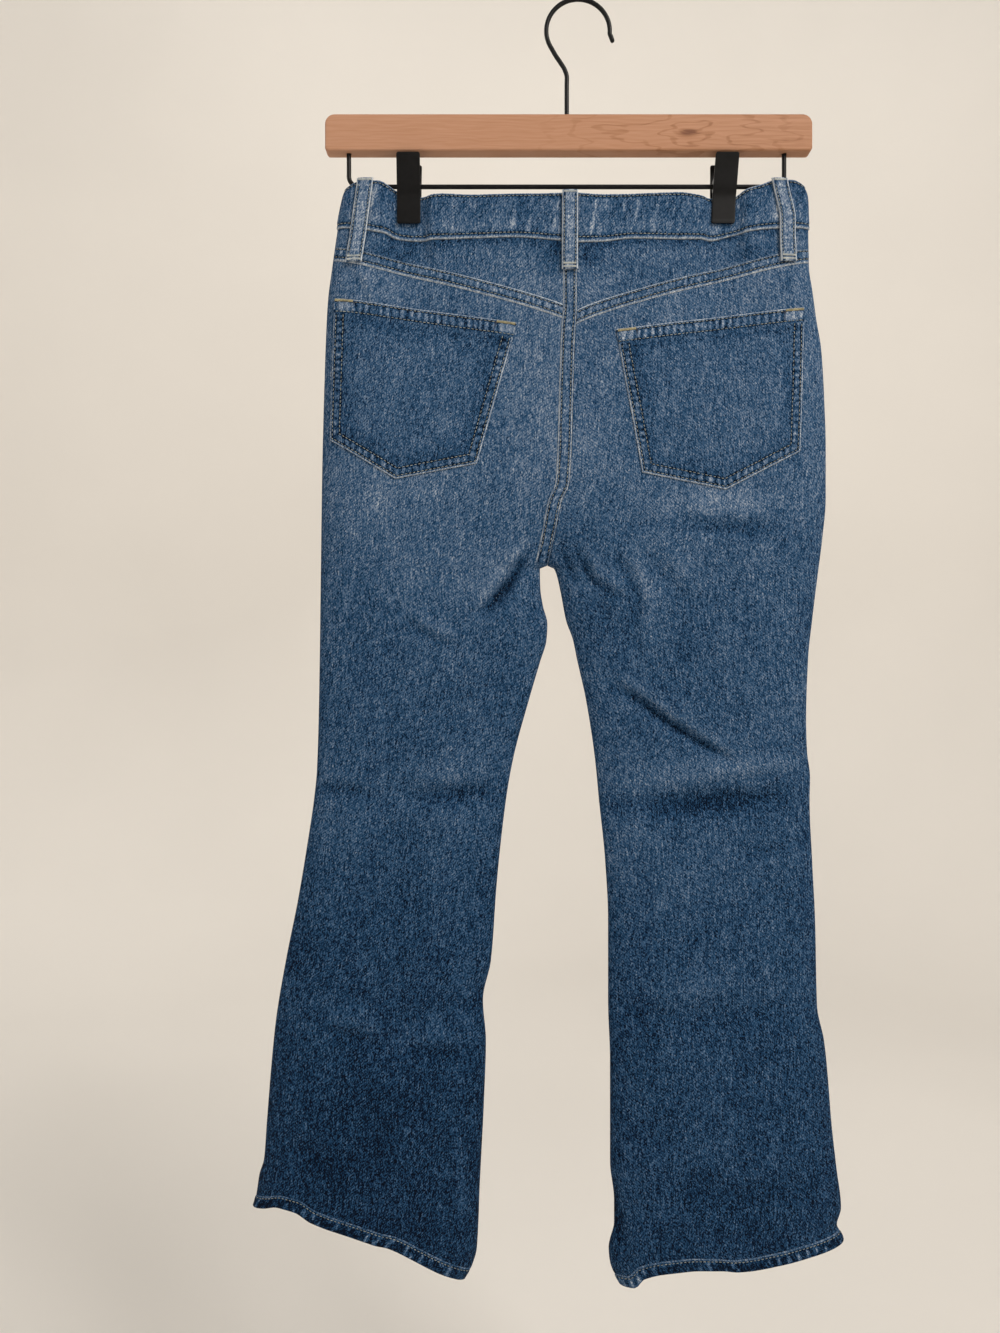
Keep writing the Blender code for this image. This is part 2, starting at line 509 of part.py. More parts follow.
def make_belt_loops():
    for name, (face, top, kink, foot) in LOOPS.items():
        down = np.array([0, 0.12, 0.3, 0.5, 0.62, 0.76, 0.9, 1.0])
        heights = top[1] + (foot[1] - top[1]) * down
        middle = np.interp(-heights, (-top[1], -kink[1], -foot[1]), (top[0], kink[0], foot[0]))
        over = 2 * GAP + (STRAP_PROUD + GAP if face == "back" else 0)
        rest = BAND_PROUD + GAP
        lift = np.interp(down, (0, 0.3, 0.55, 0.68, 1.0), (rest, rest + LOOP_BOW, rest + LOOP_BOW, rest, over))
        lift = np.maximum(lift, over)
        across = np.array([-0.5, 0, 0.5]) * LOOP_WIDE
        x = middle[:, None] + across[None]
        z = np.broadcast_to(heights[:, None], x.shape)
        lift = np.broadcast_to(lift[:, None], x.shape)
        wall("belt_loop_" + name, on_either_side(face, x, z, lift + LOOP_CLOTH), on_either_side(face, x, z, lift),
             DENIM)


def make_waistband():
    """One strip once round, its outer end lapping over the other at the centre front."""
    lap = BAND_LAP / PANEL_WIDE
    under = BAND_UNDERLAP / PANEL_WIDE
    rise = BAND_WALL + LAP_EASE
    inner_end = 1 - under
    high, sloping, down = (inner_end - step for step in LAP_SLOPE)
    stops = [("right", "front", 1 - lap, rise), ("left", "front", 1.0, rise), ("left", "front", inner_end, rise)]
    stops += [("left", "front", high, rise), ("left", "front", sloping, rise * LAP_HALF_WAY)]
    stops += [("left", "front", down, 0.0)]
    left, right = cloth_columns("left"), cloth_columns("right")
    stops += [("left", "front", a, 0.0) for a in left[::-1] if a < down - 0.02]
    stops += [("left", "back", a, 0.0) for a in left[1:]]
    stops += [("right", "back", a, 0.0) for a in right[-2::-1]]
    stops += [("right", "front", a, 0.0) for a in right[1:]]
    stops += [("left", "front", inner_end + 0.06, 0.0), ("left", "front", inner_end + 0.004, 0.0)]
    rows = np.array([V_BAND_TOP, V_BAND_TOP / 2, -WAIST_SEAM_HALF * V_PER_MM])
    outer, inner = [], []
    for side, face, a, lift in stops:
        column = np.full(rows.shape, a)
        for target, depth in ((outer, BAND_PROUD + lift), (inner, BAND_PROUD + lift - BAND_WALL)):
            points = moved_out(side, face, column, rows, np.full(rows.shape, depth))
            if a == 0:
                points[:, 1] = 0.0
            target.append(points)
    band = wall("waistband", np.stack(outer, axis=1), np.stack(inner, axis=1), DENIM)
    y, z = front_centre(V_BAND_TOP / 2)
    slot = add_box("buttonhole", (BUTTONHOLE_LONG, 2 * BAND_WALL, BUTTONHOLE_TALL),
                   (centre_x() + BUTTONHOLE_SHIFT, y + BAND_PROUD + GAP + BAND_WALL, z), into=CUTTERS)
    cut(band, slot)


def centre_x():
    return float(along(CENTRE_SEAM, -180.0))


def front_centre(v):
    """y and z of the front's outer face at its centre."""
    point = garment("left", "front", 1.0, v)
    return float(point[1]), float(point[2])


def make_fly():
    """The lapped fly, the zip under it with its slider at the top, and the waistband's button."""
    z_top = front_centre(2 * WAIST_SEAM_HALF * V_PER_MM)[1]
    x_mid = centre_x()
    s = np.array([0, 0.12, 0.3, 0.5, 0.7, 0.81, 0.9, 1.0])
    t = np.array([0, 0.1, 0.22, 0.36, 0.52, 0.7, 0.85, 1.0])
    from_centre = -FLY_WIDE + (FLY_WIDE + FLY_LAP) * s
    foot = FLY_LONG * np.sqrt(1 - 0.55 * np.clip(1 - s / 0.55, 0, 1) ** 2)
    top_line = FRONT_DROP * (1 - (1 - np.abs(from_centre) / PANEL_WIDE) ** 2)
    place_z = z_top + top_line[None] - foot[None] * t[:, None]
    place_x = along(CENTRE_SEAM, place_z) + from_centre[None]
    lift = GAP + FLY_LIFT * np.clip(1 - t / 0.52, 0, 1)[:, None] ** 1.5
    lift = np.broadcast_to(lift, place_x.shape)
    wall("fly_flap", on_either_side("front", place_x, place_z, lift + CLOTH),
         on_either_side("front", place_x, place_z, lift), DENIM)
    make_zip(z_top)
    make_button(x_mid)


def make_zip(z_top):
    teeth = ZIP_TEETH_WIDE / 2
    foot = teeth + ZIP_TEETH_SLOPE
    across = np.array([-ZIP_WIDE / 2, -foot, -teeth, teeth, foot, ZIP_WIDE / 2])
    proud = np.array([0, 0, ZIP_TEETH_PROUD, ZIP_TEETH_PROUD, 0, 0])
    z = z_top - 1.0 - np.linspace(0, ZIP_LONG, 6)
    offset, height = np.meshgrid(across, z)
    x = along(CENTRE_SEAM, height) + offset
    under = -(CLOTH + GAP)
    top = np.broadcast_to(under + proud, x.shape)
    wall("zip", on_either_side("front", x, height, top),
         on_either_side("front", x, height, np.full(x.shape, under - ZIP_TAPE)), DENIM_DARK)
    y, z_slider = front_centre(0.10)
    body = add_box("zip_slider", SLIDER_SIZE, (centre_x(), y + SLIDER_PROUD, z_slider), BRASS, 0.35, 1.0)
    add_bevel(body, 0.7)
    tab = add_box("pull_tab", SLIDER_TAB_SIZE, (centre_x(), y + SLIDER_TAB_PROUD, z_slider - SLIDER_TAB_DROP),
                  into=CUTTERS)
    join(body, tab)


def make_button(x_mid):
    y, z = front_centre(V_BAND_TOP / 2)
    under_face = y + BAND_PROUD + GAP
    over_face = y + BAND_PROUD + BAND_WALL + LAP_EASE
    head = over_face + 2 * GAP
    r, s, t = BUTTON_ACROSS / 2, BUTTON_SHANK / 2, BUTTON_THICK
    profile = ((0, head + t * 0.75), (r * 0.55, head + t * 0.75), (r * 0.78, head + t), (r * 0.93, head + t * 0.9),
               (r, head + t * 0.5), (r * 0.92, head), (s, head), (s, under_face), (0, under_face))
    add_turned("waist_button", profile, (x_mid, 0, z), BRASS)


# ---------------------------------------------------------------- plain shapes

def add_box(name, size, centre, colour=STEEL, roughness=0.5, metallic=0.0, into=None):
    mesh = bpy.data.meshes.new(name)
    box = bmesh.new()
    bmesh.ops.create_cube(box, size=1.0)
    bmesh.ops.scale(box, vec=Vector(size) * MM, verts=box.verts)
    bmesh.ops.translate(box, vec=Vector(centre) * MM, verts=box.verts)
    box.to_mesh(mesh)
    box.free()
    mesh.materials.append(principled(name, colour, roughness, metallic))
    piece = bpy.data.objects.new(name, mesh)
    (into or PARTS).objects.link(piece)
    if into is CUTTERS:
        hide_guide(piece)
    return piece


def add_rod_cutter(name, radius, start, end):
    """A round cutter between two places, in millimetres."""
    a, b = Vector(start), Vector(end)
    mesh = bpy.data.meshes.new(name)
    tube = bmesh.new()
    bmesh.ops.create_cone(tube, cap_ends=True, segments=12, radius1=radius * MM, radius2=radius * MM,
                          depth=(b - a).length * MM)
    turn = (b - a).to_track_quat("Z", "Y").to_matrix().to_4x4()
    bmesh.ops.transform(tube, matrix=Matrix.Translation((a + b) / 2 * MM) @ turn, verts=tube.verts)
    tube.to_mesh(mesh)
    tube.free()
    piece = bpy.data.objects.new(name, mesh)
    CUTTERS.objects.link(piece)
    hide_guide(piece)
    return piece


def hide_guide(piece):
    piece.hide_render = True
    piece.display_type = "WIRE"


def add_boolean(piece, other, operation):
    step = piece.modifiers.new(operation.lower(), "BOOLEAN")
    step.operation = operation
    step.object = other


def cut(piece, cutter):
    add_boolean(piece, cutter, "DIFFERENCE")


def join(piece, other):
    add_boolean(piece, other, "UNION")


def add_bevel(piece, width, segments=2):
    edge = piece.modifiers.new("soft_edges", "BEVEL")
    edge.width = width * MM
    edge.segments = segments
    edge.limit_method = "ANGLE"


def add_turned(name, profile, place, colour, steps=24):
    """A profile of radius and height, turned round the Y axis at a place."""
    mesh = bpy.data.meshes.new(name)
    points = [(radius * MM, 0, height * MM) for radius, height in profile]
    mesh.from_pydata(points, [(i, i + 1) for i in range(len(points) - 1)], [])
    mesh.materials.append(principled(name, colour, 0.4, 1.0))
    piece = bpy.data.objects.new(name, mesh)
    PARTS.objects.link(piece)
    piece.location = Vector(place) * MM
    piece.rotation_euler = (-math.pi / 2, 0, 0)
    turn = piece.modifiers.new("turned", "SCREW")
    turn.steps = turn.render_steps = steps
    turn.use_merge_vertices = True
    turn.merge_threshold = 0.00005
    return piece


def add_wire(name, points, across, colour, roundness=2):
    """A round wire along a path of points."""
    curve = bpy.data.curves.new(name, "CURVE")
    curve.dimensions = "3D"
    line = curve.splines.new("POLY")
    line.points.add(len(points) - 1)
    for knot, point in zip(line.points, points):
        knot.co = (*(Vector(point) * MM), 1)
    curve.bevel_depth = across / 2 * MM
    curve.bevel_resolution = roundness
    curve.use_fill_caps = True
    curve.materials.append(principled(name, colour, 0.4, 1.0))
    piece = bpy.data.objects.new(name, curve)
    PARTS.objects.link(piece)
    return piece


def arc(centre, radius, start, end, steps):
    """Points of an arc in the XZ plane, angles in degrees."""
    return [(centre[0] + radius * math.cos(math.radians(start + (end - start) * i / steps)), 0.0,
             centre[1] + radius * math.sin(math.radians(start + (end - start) * i / steps)))
            for i in range(steps + 1)]


def make_bar():
    """Wooden bar: a flat outline with round corners, given its depth and soft edges."""
    top, low = BAR_TOP_CORNER, BAR_LOW_CORNER
    outline = []
    for x, z, radius, start in ((BAR_RIGHT - top, BAR_TOP - top, top, 0), (BAR_LEFT + top, BAR_TOP - top, top, 90),
                                (BAR_LEFT + low, BAR_BOTTOM + low, low, 180),
                                (BAR_RIGHT - low, BAR_BOTTOM + low, low, 270)):
        outline += arc((x, z), radius, start, start + 90, 5)
    half = BAR_DEEP / 2
    count = len(outline)
    points = [(x, -half, z) for x, _, z in outline] + [(x, half, z) for x, _, z in outline]
    faces = [list(range(count)), list(range(count, 2 * count))[::-1]]
    faces += [[i, (i + 1) % count, (i + 1) % count + count, i + count] for i in range(count)]
    bar = add_mesh("hanger_bar", points, faces, WOOD, 0.5)
    add_bevel(bar, BAR_SOFT_EDGE)
    cut(bar, add_rod_cutter("hook_hole", HOOK_WIRE / 2 + GAP, (HOOK_STEM_X, 0, BAR_TOP + 5),
                            (HOOK_STEM_X, 0, BAR_TOP - HOOK_IN_BAR - GAP)))
    for name, x in (("left", ROD_LEFT), ("right", ROD_RIGHT)):
        cut(bar, add_rod_cutter("rod_hole_" + name, ROD_WIRE / 2 + GAP, (x, 0, BAR_BOTTOM - 5),
                                (x, 0, BAR_BOTTOM + ROD_IN_BAR + GAP)))


def make_hook():
    """Wire hook: a straight stem in the bar, a neck that swings left, then the round bend."""
    neck = [(HOOK_STEM_X, 0, z) for z in (BAR_TOP - HOOK_IN_BAR, -83.4, -66.0)]
    neck += [(-8.4, 0, -58.5), (-10.2, 0, -52.5), (-13.6, 0, -47.4), (-17.0, 0, -42.4)]
    bend = arc((0, HOOK_CENTRE), HOOK_BEND, 212, -4, 20)
    tip = [(25.3, 0, -27.0), (26.9, 0, -31.6)]
    add_wire("hanger_hook", neck + bend + tip, HOOK_WIRE, BLACK)


def make_rod():
    """Bent wire under the bar, with both ends up in it."""
    top = BAR_BOTTOM + ROD_IN_BAR
    centre_z = ROD_Z + ROD_BEND
    path = [(ROD_LEFT, 0, top), (ROD_LEFT, 0, -120)]
    path += arc((ROD_LEFT + ROD_BEND, centre_z), ROD_BEND, 180, 270, 6)
    path += arc((ROD_RIGHT - ROD_BEND, centre_z), ROD_BEND, 270, 360, 6)
    path += [(ROD_RIGHT, 0, -120), (ROD_RIGHT, 0, top)]
    add_wire("clip_rod", path, ROD_WIRE, BLACK)


def make_clips():
    for side in ("left", "right"):
        for place, toward in (("front", -1), ("rear", 1)):
            make_jaw(side, place, toward)
        make_spring(side)


def jaw_profile():
    """Middle line of a jaw's sheet: distance from the middle plane, and height."""
    grip = SEAM_HALF + PINCH_HALF + BAND_PROUD + 2 * GAP + CLIP_SHEET / 2
    return ((11.0, CLIP_TOP), (8.4, -133.0), (6.4, -144.5), (grip + 0.2, -151.5), (grip, -155.0),
            (grip, -169.5), (grip + 0.7, CLIP_FOOT))


def make_jaw(side, place, toward):
    """A bent sheet with two ears that carry it on the rod."""
    x_mid, lean = CLIP_X[side], CLIP_LEAN[side]
    line = jaw_profile()
    half, thick = CLIP_WIDE / 2, CLIP_SHEET / 2
    rows_out, rows_in = [], []
    foot_corner = JAW_CORNER * 0.6
    top_y, foot_y = line[0][0], line[-1][0]
    below_top = CLIP_TOP - JAW_CORNER
    stations = [(top_y, CLIP_TOP, half - JAW_CORNER)]
    stations += [(np.interp(-below_top, [-a[1] for a in line], [a[0] for a in line]), below_top, half)]
    stations += [(y, z, half) for y, z in line[1:-1]] + [(foot_y, CLIP_FOOT + foot_corner, half)]
    stations += [(foot_y, CLIP_FOOT, half - foot_corner)]
    for y, z, reach in stations:
        x = x_mid + lean * (CLIP_TOP - z) / (CLIP_TOP - CLIP_FOOT)
        across = np.array([-reach, -reach * 0.5, 0, reach * 0.5, reach])
        rows_out.append([(x + a, toward * (y + thick), z) for a in across])
        rows_in.append([(x + a, toward * (y - thick), z) for a in across])
    name = "clip_%s_%s" % (side, place)
    jaw = wall(name, np.array(rows_out), np.array(rows_in), BLACK)
    jaw.data.materials.clear()
    jaw.data.materials.append(principled(name, BLACK, 0.45, 0.6))
    ear_x = half - (FRONT_EAR_IN if place == "front" else REAR_EAR_IN)
    for end in (-1, 1):
        x = x_mid + lean * LEAN_AT_ROD + end * ear_x
        ear = add_box("%s_ear_%d" % (name, end), EAR_SIZE, (x, toward * EAR_REACH, ROD_Z), into=CUTTERS)
        join(jaw, ear)
    cut(jaw, add_rod_cutter(name + "_bore", ROD_WIRE / 2 + GAP, (x_mid - 12, 0, ROD_Z), (x_mid + 12, 0, ROD_Z)))


def make_spring(side):
    """Coil spring round the rod, its two ends up behind the jaws' tops."""
    steps = 8
    count = SPRING_TURNS * steps
    x_start = CLIP_X[side] + CLIP_LEAN[side] * LEAN_AT_ROD - SPRING_LONG / 2
    path = [(x_start, -y, z) for y, z in SPRING_END]
    for i in range(count + 1 - steps // 2):
        angle = math.radians(180 + 360 * i / steps)
        path.append((x_start + SPRING_LONG * i / count, SPRING_COIL * math.cos(angle),
                     ROD_Z + SPRING_COIL * math.sin(angle)))
    path += [(x_start + SPRING_LONG, y, z) for y, z in reversed(SPRING_END)]
    add_wire("clip_spring_" + side, path, SPRING_WIRE, STEEL, 1)


def clear_scene():
    for thing in list(bpy.data.objects):
        bpy.data.objects.remove(thing)


clear_scene()
PARTS = collection_named("Flared jeans on a clip hanger")
CUTTERS = collection_named("Cutters")
make_panels()
make_hems()
make_felled_seams()
make_pockets()
make_belt_loops()
make_waistband()
make_fly()
make_bar()
make_hook()
make_rod()
make_clips()
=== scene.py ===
"""Looks of the flared jeans on a clip hanger: denim with its creases and sewing, and the hanger's finishes.

Tables are in millimetres, as the cloth's own functions are, and MM turns them to metres. Left and right are
the wearer's, so left is -X, and the seat side faces -Y.
"""
import math

import bmesh
import bpy
import numpy as np
from mathutils import Matrix, Vector


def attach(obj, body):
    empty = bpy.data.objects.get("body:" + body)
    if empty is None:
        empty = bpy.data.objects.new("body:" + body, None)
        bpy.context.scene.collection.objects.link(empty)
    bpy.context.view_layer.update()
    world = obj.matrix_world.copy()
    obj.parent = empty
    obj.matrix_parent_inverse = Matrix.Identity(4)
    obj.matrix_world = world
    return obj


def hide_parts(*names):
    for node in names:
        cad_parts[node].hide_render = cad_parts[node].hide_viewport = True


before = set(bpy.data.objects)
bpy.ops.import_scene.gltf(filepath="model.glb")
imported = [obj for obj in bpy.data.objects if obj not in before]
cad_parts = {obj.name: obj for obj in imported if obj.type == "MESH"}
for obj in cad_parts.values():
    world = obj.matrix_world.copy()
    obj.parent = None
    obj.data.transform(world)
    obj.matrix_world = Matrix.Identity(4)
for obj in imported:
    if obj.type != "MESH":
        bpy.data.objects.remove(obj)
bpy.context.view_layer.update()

MM = 0.001
GAP = 0.3                  # between pieces that meet
SEAM_HALF = 0.03           # half the gap between the back's cloth and the front's
WAIST_SEAM_HALF = 0.25     # half the gap between the waistband and the panels below it
BAND_PROUD = 0.8           # the waistband stands out from the panels by this
BAND_WALL = 3.0            # waistband: two layers with their turnings
HEM_WALL = 2.4             # hem: three layers, pressed flat
HEM_PROUD = 0.4            # and the hems by this

# Hanger
BAR_LEFT, BAR_RIGHT = -193.8, 178.7
BAR_TOP, BAR_BOTTOM = -89.4, -117.6
BAR_DEEP = 12.6
BAR_TOP_CORNER, BAR_LOW_CORNER = 7.5, 3.0
BAR_SOFT_EDGE = 1.2
HOOK_WIRE = 3.46
HOOK_BEND = 24.4           # radius of the hook, to the middle of its wire
HOOK_CENTRE = -(HOOK_BEND - HOOK_WIRE / 2)
ROD_WIRE = 3.46
ROD_LEFT, ROD_RIGHT = -176.2, 158.5
ROD_Z = -142.6
ROD_BEND = 8.0
ROD_IN_BAR = 13.0
HOOK_STEM_X = -8.7
HOOK_IN_BAR = 22.3

# Clips
CLIP_X = {"left": -129.8, "right": 112.8}
CLIP_LEAN = {"left": 0.0, "right": -2.2}     # how far the jaws' foot leans along X
CLIP_WIDE = 17.9
CLIP_SHEET = 1.1
CLIP_TOP, CLIP_FOOT = -121.0, -172.7
GRIP_REACH = 15.0          # how far each side of a clip the pinch spreads
GRIP_X = {side: CLIP_X[side] + 0.8 * CLIP_LEAN[side] for side in CLIP_X}
PINCH_HALF = 2.25          # half depth of the cloth between a clip's jaws
JAW_CORNER = 1.6
EAR_SIZE = (1.0, 9.4, 9.0)
EAR_REACH = 2.1            # the middle of an ear, off the rod's own plane
FRONT_EAR_IN, REAR_EAR_IN = 1.0, 2.3   # the ears stand this far inside the jaw's sides
LEAN_AT_ROD = 0.42         # part of a jaw's lean that it has at the rod
SPRING_WIRE, SPRING_TURNS, SPRING_LONG = 1.1, 4, 5.6
SPRING_COIL = ROD_WIRE / 2 + GAP + 0.65
SPRING_END = ((6.4, -134.5), (4.6, -138.6))    # its straight ends: distance from the rod's plane, and height

# Side and centre seams: height z and place x.
OUTSEAM = {
    "left": ((-141, -178.3), (-155, -181.2), (-172, -184.3), (-206, -189.2), (-230, -192.3), (-260, -193.9),
             (-306, -195.4), (-368, -196.9), (-430, -197.7), (-537, -199.2), (-591, -200.8), (-614, -203.1),
             (-645, -207.7), (-691, -215.4), (-737, -224.6), (-783, -232.3), (-822, -236.2), (-860, -239.2),
             (-891, -241.5), (-903, -245.0), (-918, -247.3), (-929, -249.8)),
    "right": ((-139, 173.1), (-150, 175.8), (-169, 176.9), (-205, 177.5), (-222, 180.0), (-245, 183.1),
              (-268, 186.9), (-306, 189.2), (-345, 190.4), (-383, 190.4), (-414, 187.7), (-445, 183.8),
              (-476, 180.0), (-506, 176.9), (-553, 175.4), (-576, 176.1), (-597, 178.5), (-614, 178.1),
              (-660, 180.0), (-706, 182.3), (-772, 183.8), (-799, 189.2), (-830, 192.3), (-860, 194.6),
              (-895, 198.5), (-926, 202.1), (-939, 198.8), (-947, 202.8), (-953.4, 203.8)),
}
CENTRE_SEAM = ((-139, -1.7), (-242, -1.7), (-257, -2.9), (-310, -4.8), (-332, -5.4), (-372, -7.5),
               (-388, -13.8), (-409, -18.0), (-434, -23.7))
INSEAM = {
    "left": ((-434, -23.7), (-436.5, -29.3), (-452, -28.9), (-465, -26.9), (-479, -23.5), (-491, -24.2),
             (-508, -29.2), (-537, -37.7), (-583, -50.0), (-614, -55.4), (-676, -62.3), (-737, -66.9),
             (-768, -73.1), (-799, -70.8), (-845, -72.3), (-906, -75.4), (-956, -77.7), (-970, -81.5),
             (-982, -87.7)),
    "right": ((-434, -23.7), (-436.5, -18.3), (-452, -13.9), (-476, -9.2), (-491, -3.9), (-506, -0.8),
              (-537, 6.1), (-583, 13.1), (-614, 16.1), (-660, 20.8), (-706, 23.1), (-768, 23.1),
              (-814, 24.6), (-891, 24.6), (-920, 27.7), (-937, 27.7), (-956, 23.5), (-965, 24.2),
              (-985.5, 32.0)),
}
CROTCH_Z = -434.0
CLOSE_TOP = -385.0         # where the seat starts to round under to the crotch

# Rows across the cloth. out and in are the heights at the side seam and at the centre seam or inseam, curl
# says how the row bends between them, bow lifts its middle, back and front are half depths, and edge says
# how blunt the fold at the side is.
ROW_COLUMNS = ("v", "left_out", "left_in", "right_out", "right_in", "curl",
               "left_bow", "right_bow", "back", "front", "edge")
ROWS = (
    (-0.35, -143.0, -150.5, -141.0, -150.5, 3.0, 0.0, 0.0, 6.2, 6.2, 13.0),    # waistband's top edge
    (0.00, -176.0, -188.5, -176.5, -188.9, 3.0, 0.0, 0.0, 6.8, 6.8, 12.0),     # waistband's lower seam
    (0.34, -190.6, -241.3, -192.1, -241.1, 0.8, 0.0, 0.0, 8.6, 8.0, 9.0),      # top of the yoke seam
    (0.45, -201.0, -252.0, -202.5, -252.0, 0.8, 0.0, 0.0, 9.2, 8.6, 8.0),      # foot of the yoke seam
    (1.05, -268.0, -302.0, -268.0, -302.0, 1.0, 0.0, 0.0, 12.0, 10.5, 6.0),    # hip
    (1.75, -350.0, -362.0, -350.0, -362.0, 1.0, 0.0, 0.0, 14.0, 12.0, 4.5),    # seat
    (2.20, -400.0, -404.0, -400.0, -404.0, 1.0, 0.0, 0.0, 14.0, 12.0, 4.0),
    (2.52, -434.0, -434.0, -434.0, -434.0, 1.0, 0.0, 0.0, 13.5, 12.0, 3.8),    # crotch
    (2.57, -438.5, -438.5, -438.5, -438.5, 1.0, 0.0, 0.0, 13.4, 12.0, 3.8),    # just below the crotch
    (2.70, -452.0, -452.0, -452.0, -452.0, 1.0, 0.0, 0.0, 13.2, 12.0, 3.7),
    (3.18, -500.0, -500.0, -500.0, -500.0, 1.0, 0.0, 0.0, 12.6, 11.6, 3.4),    # thigh
    (3.78, -560.0, -560.0, -560.0, -560.0, 1.0, 0.0, 0.0, 11.6, 11.0, 3.3),
    (4.32, -614.0, -614.0, -614.0, -614.0, 1.0, 0.0, 0.0, 11.0, 10.6, 3.3),    # knee
    (4.98, -680.0, -680.0, -680.0, -680.0, 1.0, 0.0, 0.0, 11.2, 11.0, 3.3),
    (5.86, -768.0, -768.0, -768.0, -768.0, 1.0, 0.0, 0.0, 12.6, 12.2, 3.3),    # calf
    (6.68, -850.0, -850.0, -850.0, -850.0, 1.0, 3.0, 0.5, 14.6, 14.0, 3.3),
    (7.66, -917.5, -970.5, -942.0, -974.0, 1.0, 9.0, 1.0, 17.0, 16.0, 3.3),    # top of the hem
    (7.78, -928.8, -981.8, -953.4, -985.5, 1.0, 9.0, 1.0, 17.3, 16.3, 3.3),    # hem's edge
)
V_BAND_TOP, V_YOKE_TOP, V_YOKE_FOOT, V_CROTCH = -0.35, 0.34, 0.45, 2.52
V_HEM_TOP, V_HEM = 7.66, 7.78
V_PER_MM = 0.01            # how far v moves in a millimetre of height
LOCATE_FROM, LOCATE_ROUNDS = -182.0, 60      # z of v = 0 in the first guess at a place's v, and its rounds

# The waistband's two edges, scalloped where the clips pull it: u and heights at the back.
WAIST_COLUMNS = ("u", "left_top", "left_seam", "right_top", "right_seam")
WAIST = (
    (0.00, -145.5, -176.0, -143.5, -176.5),
    (0.06, -141.2, -177.2, -139.6, -176.9),
    (0.14, -140.4, -179.2, -140.3, -177.6),
    (0.20, -145.0, -181.2, -143.8, -178.3),
    (0.26, -150.0, -184.4, -147.0, -179.8),
    (0.33, -151.6, -185.5, -153.0, -181.6),
    (0.42, -150.3, -185.8, -152.6, -185.4),
    (0.55, -151.5, -185.3, -149.6, -186.0),
    (0.75, -150.9, -184.6, -150.9, -185.4),
    (0.90, -150.7, -186.8, -151.5, -188.3),
    (1.00, -150.5, -188.5, -150.5, -188.9),
)
FRONT_DROP = 16.0          # the front rise is lower than the back by this at the centre
WAIST_SLACK = 2.2          # the waist's layers stand apart by this much more at the centre

# Largest folds of the back and front: place x, z, slope in degrees, half length, half width, height.
FOLDS = {
    "back": (
        (-58.0, -449.0, 53.0, 34.0, 7.0, -2.4),      # left of the crotch
        (8.0, -454.0, -55.0, 36.0, 7.0, -2.2),       # right of the crotch
        (71.0, -553.5, -33.0, 52.0, 7.0, -2.4),      # across the right thigh, down to the knee
        (74.0, -543.0, -33.0, 52.0, 8.0, 1.4),
        (94.0, -612.0, -6.0, 70.0, 13.0, -2.4),      # behind the right knee
        (-92.0, -607.0, 2.0, 60.0, 12.0, -1.6),      # behind the left knee
        (-126.0, -787.0, 18.0, 70.0, 14.0, -1.8),    # left calf
        (110.0, -770.0, 4.0, 60.0, 13.0, -1.6),      # right calf
    ),
    "front": (
        (-62.0, -452.0, 48.0, 36.0, 8.0, -2.2),
        (14.0, -450.0, -50.0, 34.0, 8.0, -2.2),
        (-112.0, -600.0, -8.0, 64.0, 13.0, -2.2),
        (98.0, -596.0, 10.0, 60.0, 13.0, -2.2),
        (-140.0, -760.0, 14.0, 60.0, 14.0, -1.8),
        (104.0, -790.0, -10.0, 62.0, 14.0, -1.8),
    ),
}

# Patch pockets: corners x, z in the order top outer, top inner, low inner, point, low outer.
POCKETS = {
    "left": ((-186.0, -231.1), (-47.2, -250.8), (-77.5, -358.2), (-139.1, -369.7), (-189.2, -339.3)),
    "right": ((171.4, -238.5), (28.0, -255.7), (47.6, -364.8), (110.8, -377.8), (167.3, -348.4)),
}
POCKET_BAND = 11.5         # the pocket's turned top
POCKET_BAND_PROUD = 0.6

# Belt loops: x and z of the middle line at the top, the kink and the foot.
LOOP_WIDE = 12.0
LOOPS = {
    "back_centre": ("back", (-6.7, -149.6), (-6.9, -180.0), (-7.0, -210.4)),
    "back_left": ("back", (-162.3, -139.6), (-166.5, -172.0), (-171.0, -204.5)),
    "back_right": ("back", (152.6, -139.6), (158.6, -167.5), (158.8, -203.9)),
    "front_left": ("front", (-80.0, -151.6), (-80.0, -182.0), (-80.0, -212.0)),
    "front_right": ("front", (74.0, -152.0), (74.0, -182.0), (74.0, -212.0)),
}
LOOP_BOW = 1.2             # how far a loop's middle stands off the waistband

# Centre front
SCOOP_U, SCOOP_V = 0.52, 0.85        # front pocket opening, as parts of the front panel
STRAP_WIDE, STRAP_PROUD = 10.0, 1.0  # felled seams
PANEL_WIDE = 180.0         # from a side seam to the centre
FLY_SLOT = 5.0             # each front panel stops short of the centre by this above the zip's foot
FLY_SLOT_V = 1.30
FLY_WIDE, FLY_LONG = 36.0, 132.0
FLY_LAP = 7.0
FLY_LIFT = 3.3             # the fly's top stands out as far as the lapped waistband end
LAP_EASE = 0.6             # between the waistband's lapped ends
BAND_LAP = 12.0            # the waistband's outer end passes the centre by this
BAND_UNDERLAP = 28.0
LAP_SLOPE = (0.07, 0.26)   # u from and to which the outer end comes down past the inner one
SEAT_EDGE = 0.0009         # the centre seam's half gap, as a part of the panel's width
FLY_TALL = 136.0           # the flap's length with the turning at its foot
FLY_ROWS = ((0.05, 0.955), (0.19, 0.90))     # the fly's stitching: place across, and down to its turn
ZIP_LONG = 118.0
ZIP_TAPE = 0.9             # thickness of the tape
TOOTH_PITCH, TOOTH_OUT, TOOTH_STEP = 1.8, 1.1, 0.45
TOOTH_SIZE = (2.6, 1.1, 0.8)         # across the tape, along it, and off it

